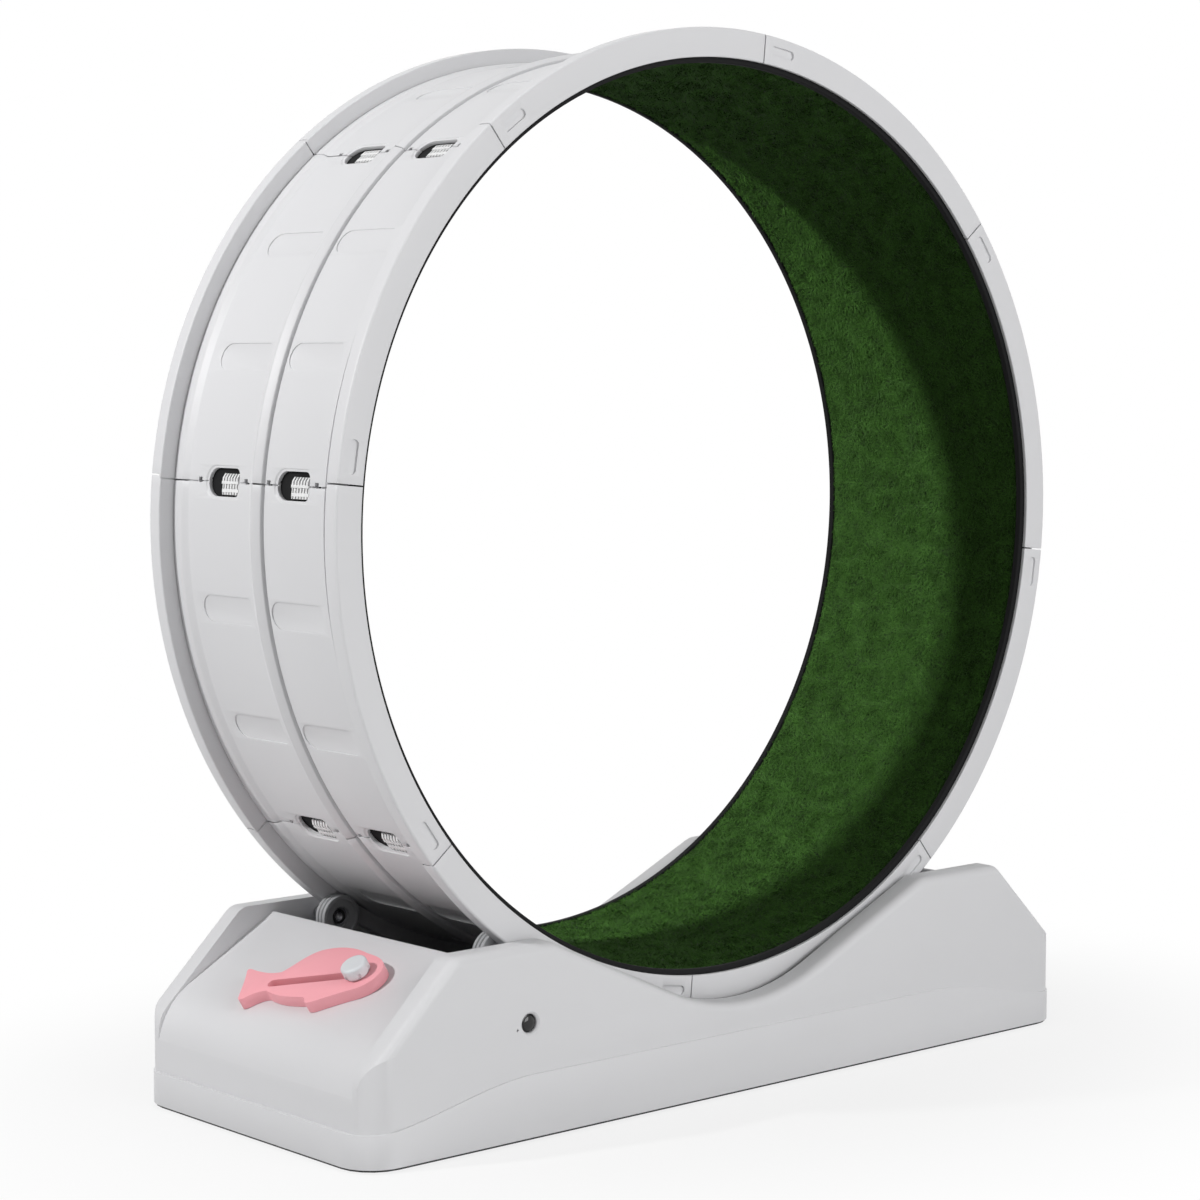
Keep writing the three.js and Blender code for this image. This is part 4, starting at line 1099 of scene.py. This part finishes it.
class WHEEL_OT_brake(bpy.types.Operator):
    """Makes the fish-shaped brake plate, its bush, stud, washer and knob"""
    bl_idname = "exercise_wheel.brake"
    bl_label = "Fish brake"

    def execute(self, context):
        size = context.scene.exercise_wheel_brake
        turned, plain = deck_matrix(size.heading), deck_matrix()
        half, bore = size.slot_width / 2, 3.3 * MM
        top = FIT + size.thickness
        outline = bezier_loop(FISH_CURVES, 12)
        fish = scratch(stacked([np.column_stack([outline, np.full(len(outline), level)])
                                for level in (FIT, top)]))
        slot = slot_corners(half, -size.slot_length - half, size.slot_end)
        combined(fish, "DIFFERENCE", slab(slot, -5 * MM, 20 * MM, 2))
        rounded(fish, 0.9 * MM, 38.0, 3)
        piece("fish_plate", released(fish, turned), "fish", "brake_fish", ["brake_fish"], 40.0)

        bush = scratch(slab(slot_corners(half - FIT, -7.5 * MM, 7.5 * MM), FIT, top - 0.4 * MM, 2))
        hole = [(0, -5 * MM), (bore, -5 * MM), (bore, 20 * MM), (0, 20 * MM)]
        combined(bush, "DIFFERENCE", lathe(hole, 32, axis=Z_AXIS))
        piece("slot_bush", released(bush, turned), "knob", "brake_swing", ["brake_bush"])

        low = 2 * FIT + size.thickness
        high = low + size.washer
        knob_low = high + FIT
        knob_top = knob_low + size.knob_height
        stud_top = knob_low + size.knob_height * 0.6
        stud = [*mm((0, -9.3), (7, -9.3), (7, -6.3)), (size.stud, -6.3 * MM), (size.stud, stud_top),
                (0, stud_top)]
        piece("fixed_stud", released(scratch(lathe(stud, 32, axis=Z_AXIS)), plain), "steel", "base",
              ["brake_stud"])
        ring = [(bore, low, 0.2 * MM), (9.5 * MM, low, 0.3 * MM), (9.5 * MM, high, 0.3 * MM),
                (bore, high, 0.2 * MM)]
        washer = scratch(lathe(filleted(ring, step=30.0), 64, axis=Z_AXIS))
        piece("washer", released(washer, plain), "steel", "base", ["brake_washer"])

        r, bend = size.knob_radius, size.knob_round
        blind = stud_top + 2 * FIT
        crown = [(r - bend + bend * math.cos(a), knob_top - bend + bend * math.sin(a))
                 for a in np.linspace(0.2, math.pi / 2, 7)]
        cap = [(bore, knob_low), (r - 0.9 * MM, knob_low), (r, knob_low + 0.9 * MM), (r, knob_top - bend),
               *crown, (r * 0.5, knob_top), (0, knob_top), (0, blind), (bore, blind), (bore, knob_low)]
        notch = lifted(mm((0, -1), (1.9, -1), (1.9, 3.4), (1.2, 4.2), (0, 4.4)), knob_low)
        knob = scratch(lathe(cap, 72, axis=Z_AXIS))
        combined(knob, "DIFFERENCE", *[lathe(notch, 20, (r * math.cos(a), r * math.sin(a), 0), Z_AXIS)
                                       for a in np.arange(6) * math.pi / 3])
        rounded(knob, 0.25 * MM, 45.0)
        piece("brake_dial", released(knob, plain), "knob", "brake_knob", ["brake_knob"], 30.0)
        return {"FINISHED"}


# ---------- stage ----------
WHITE = (1.0, 1.0, 1.0, 1.0)
SIDE_LAMP, TOP_LAMP, FRONT_LAMP = (-2.4, 0.66, 1.75), (-0.3, 0.0, 3.4), (0.3, -3.6, 1.5)
LAMP_AIM = (0, 0, 0.35)
CAMERA_PLACE, CAMERA_AIM = (-1.7006, -1.8840, 0.6098), (-0.03072, 0.0, 0.40093)
CAMERA_LENS = 89.33


def seen_white(tree, shader, white, keep=0.0):
    """Mixes a shader with plain white light for camera, glossy and transmission rays, as the tree's
    surface. keep is the share of the shader that stays in what those rays see."""
    rays = add(tree, "ShaderNodeLightPath").outputs
    seen = calculated(tree, "MAXIMUM", rays["Is Camera Ray"], rays["Is Glossy Ray"])
    seen = calculated(tree, "MAXIMUM", seen, rays["Is Transmission Ray"])
    share = calculated(tree, "MULTIPLY", seen, calculated(tree, "SUBTRACT", 1.0, keep))
    mix = add(tree, "ShaderNodeMixShader", {0: share, 1: shader, 2: white})
    output = next(node for node in tree.nodes if node.type in ("OUTPUT_MATERIAL", "OUTPUT_WORLD"))
    feed(tree, output, {"Surface": mix.outputs[0]})


def shadow_share(tree):
    """How much of the floor's own shade shows: most beside the product, none further out."""
    squash = add(tree, "ShaderNodeVectorMath", {0: object_place(tree), 1: (0.75, 1.0, 1.0)},
                 operation="MULTIPLY").outputs[0]
    away = add(tree, "ShaderNodeVectorMath", {0: squash}, operation="LENGTH").outputs["Value"]
    return add(tree, "ShaderNodeMapRange",
               {"Value": away, "From Min": 0.22, "From Max": 0.62, "To Min": 0.2, "To Max": 0.0},
               interpolation_type="SMOOTHSTEP").outputs["Result"]


def placed(name, data, place, aim):
    """A lamp or a camera at a place, looking at a point."""
    item = bpy.data.objects.new(name, data)
    item.location = place
    item.rotation_euler = (Vector(aim) - Vector(place)).to_track_quat("-Z", "Y").to_euler()
    bpy.context.scene.collection.objects.link(item)
    return item


class WHEEL_OT_stage(bpy.types.Operator):
    """Makes the pale floor, the lights, the white background and the camera"""
    bl_idname = "exercise_wheel.stage"
    bl_label = "Floor, light and camera"

    def execute(self, context):
        scene = context.scene
        look = scene.exercise_wheel_finishes
        mesh = bpy.data.meshes.new("floor")
        mesh.from_pydata([(-6, -6, 0), (6, -6, 0), (6, 6, 0), (-6, 6, 0)], [], [[0, 1, 2, 3]])
        floor = bpy.data.objects.new("floor", mesh)
        scene.collection.objects.link(floor)
        material, tree, shader = blank_material("Pale floor")
        feed(tree, shader, {"Base Color": (0.68, 0.68, 0.68, 1.0), "Roughness": 0.9,
                            "Specular IOR Level": 0.1})
        glow = add(tree, "ShaderNodeEmission", {"Color": WHITE})
        seen_white(tree, shader.outputs[0], glow.outputs[0], shadow_share(tree))
        mesh.materials.append(material)

        world = bpy.data.worlds.new("Studio")
        world.use_nodes = True
        scene.world = world
        tree = world.node_tree
        sky = node_of(tree, "BACKGROUND")
        feed(tree, sky, {"Color": WHITE, "Strength": look.world})
        white = add(tree, "ShaderNodeBackground", {"Color": WHITE, "Strength": 1.0})
        seen_white(tree, sky.outputs[0], white.outputs[0])

        items = {}
        for name, place, watts, wide in (("band", SIDE_LAMP, look.band_power, 0.14),
                                         ("turf", SIDE_LAMP, look.turf_power, 0.10),
                                         ("top", TOP_LAMP, look.top_power, 1.4),
                                         ("front", FRONT_LAMP, look.front_power, 2.6)):
            lamp = bpy.data.lights.new(name, "AREA")
            lamp.energy = watts
            lamp.size = wide
            items[name] = placed(name, lamp, place, LAMP_AIM)
        turf = [item for item in bpy.data.objects if item.name.startswith("turf_")]
        if not turf:
            raise RuntimeError("There is no turf to light: the lining comes before the stage")
        lit = bpy.data.collections.new("Turf in the light")
        for item in turf:
            lit.objects.link(item)
        items["turf"].light_linking.receiver_collection = lit

        lens = bpy.data.cameras.new("camera")
        lens.lens = CAMERA_LENS
        lens.sensor_width = 36.0
        lens.clip_end = 50.0
        scene.camera = placed("camera", lens, CAMERA_PLACE, CAMERA_AIM)
        scene.view_settings.view_transform = "Standard"
        return {"FINISHED"}


# ---------- panel and registration ----------
GROUPS = {"wheel": WheelSizes, "base": BaseSizes, "brake": BrakeSizes, "finishes": Finishes}
PIECE_OPERATORS = (
    WHEEL_OT_rim_segments, WHEEL_OT_snap_clips, WHEEL_OT_lining, WHEEL_OT_base_moulding,
    WHEEL_OT_base_fittings, WHEEL_OT_rollers, WHEEL_OT_brake, WHEEL_OT_stage,
)


class WHEEL_PT_panel(bpy.types.Panel):
    """Lists the sizes and the pieces of the exercise wheel"""
    bl_idname = "WHEEL_PT_panel"
    bl_label = "Exercise wheel"
    bl_space_type = "VIEW_3D"
    bl_region_type = "UI"
    bl_category = "Exercise Wheel"

    def draw(self, context):
        for name in GROUPS:
            box = self.layout.box()
            box.label(text=name.capitalize())
            group = getattr(context.scene, f"exercise_wheel_{name}")
            for field in group.__annotations__:
                box.prop(group, field)
        for operator in PIECE_OPERATORS:
            self.layout.operator(operator.bl_idname)


def register():
    """Registers the settings, the operators and the panel."""
    for name, group in GROUPS.items():
        bpy.utils.register_class(group)
        setattr(bpy.types.Scene, f"exercise_wheel_{name}", PointerProperty(type=group))
    for item in (*PIECE_OPERATORS, WHEEL_PT_panel):
        bpy.utils.register_class(item)


def unregister():
    """Takes away what register added."""
    for item in (WHEEL_PT_panel, *reversed(PIECE_OPERATORS)):
        bpy.utils.unregister_class(item)
    for name, group in reversed(GROUPS.items()):
        delattr(bpy.types.Scene, f"exercise_wheel_{name}")
        bpy.utils.unregister_class(group)


def main():
    """Registers the classes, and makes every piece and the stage."""
    register()
    for operator in PIECE_OPERATORS:
        family, action = operator.bl_idname.split(".")
        getattr(getattr(bpy.ops, family), action)()


if __name__ == "__main__":
    main()
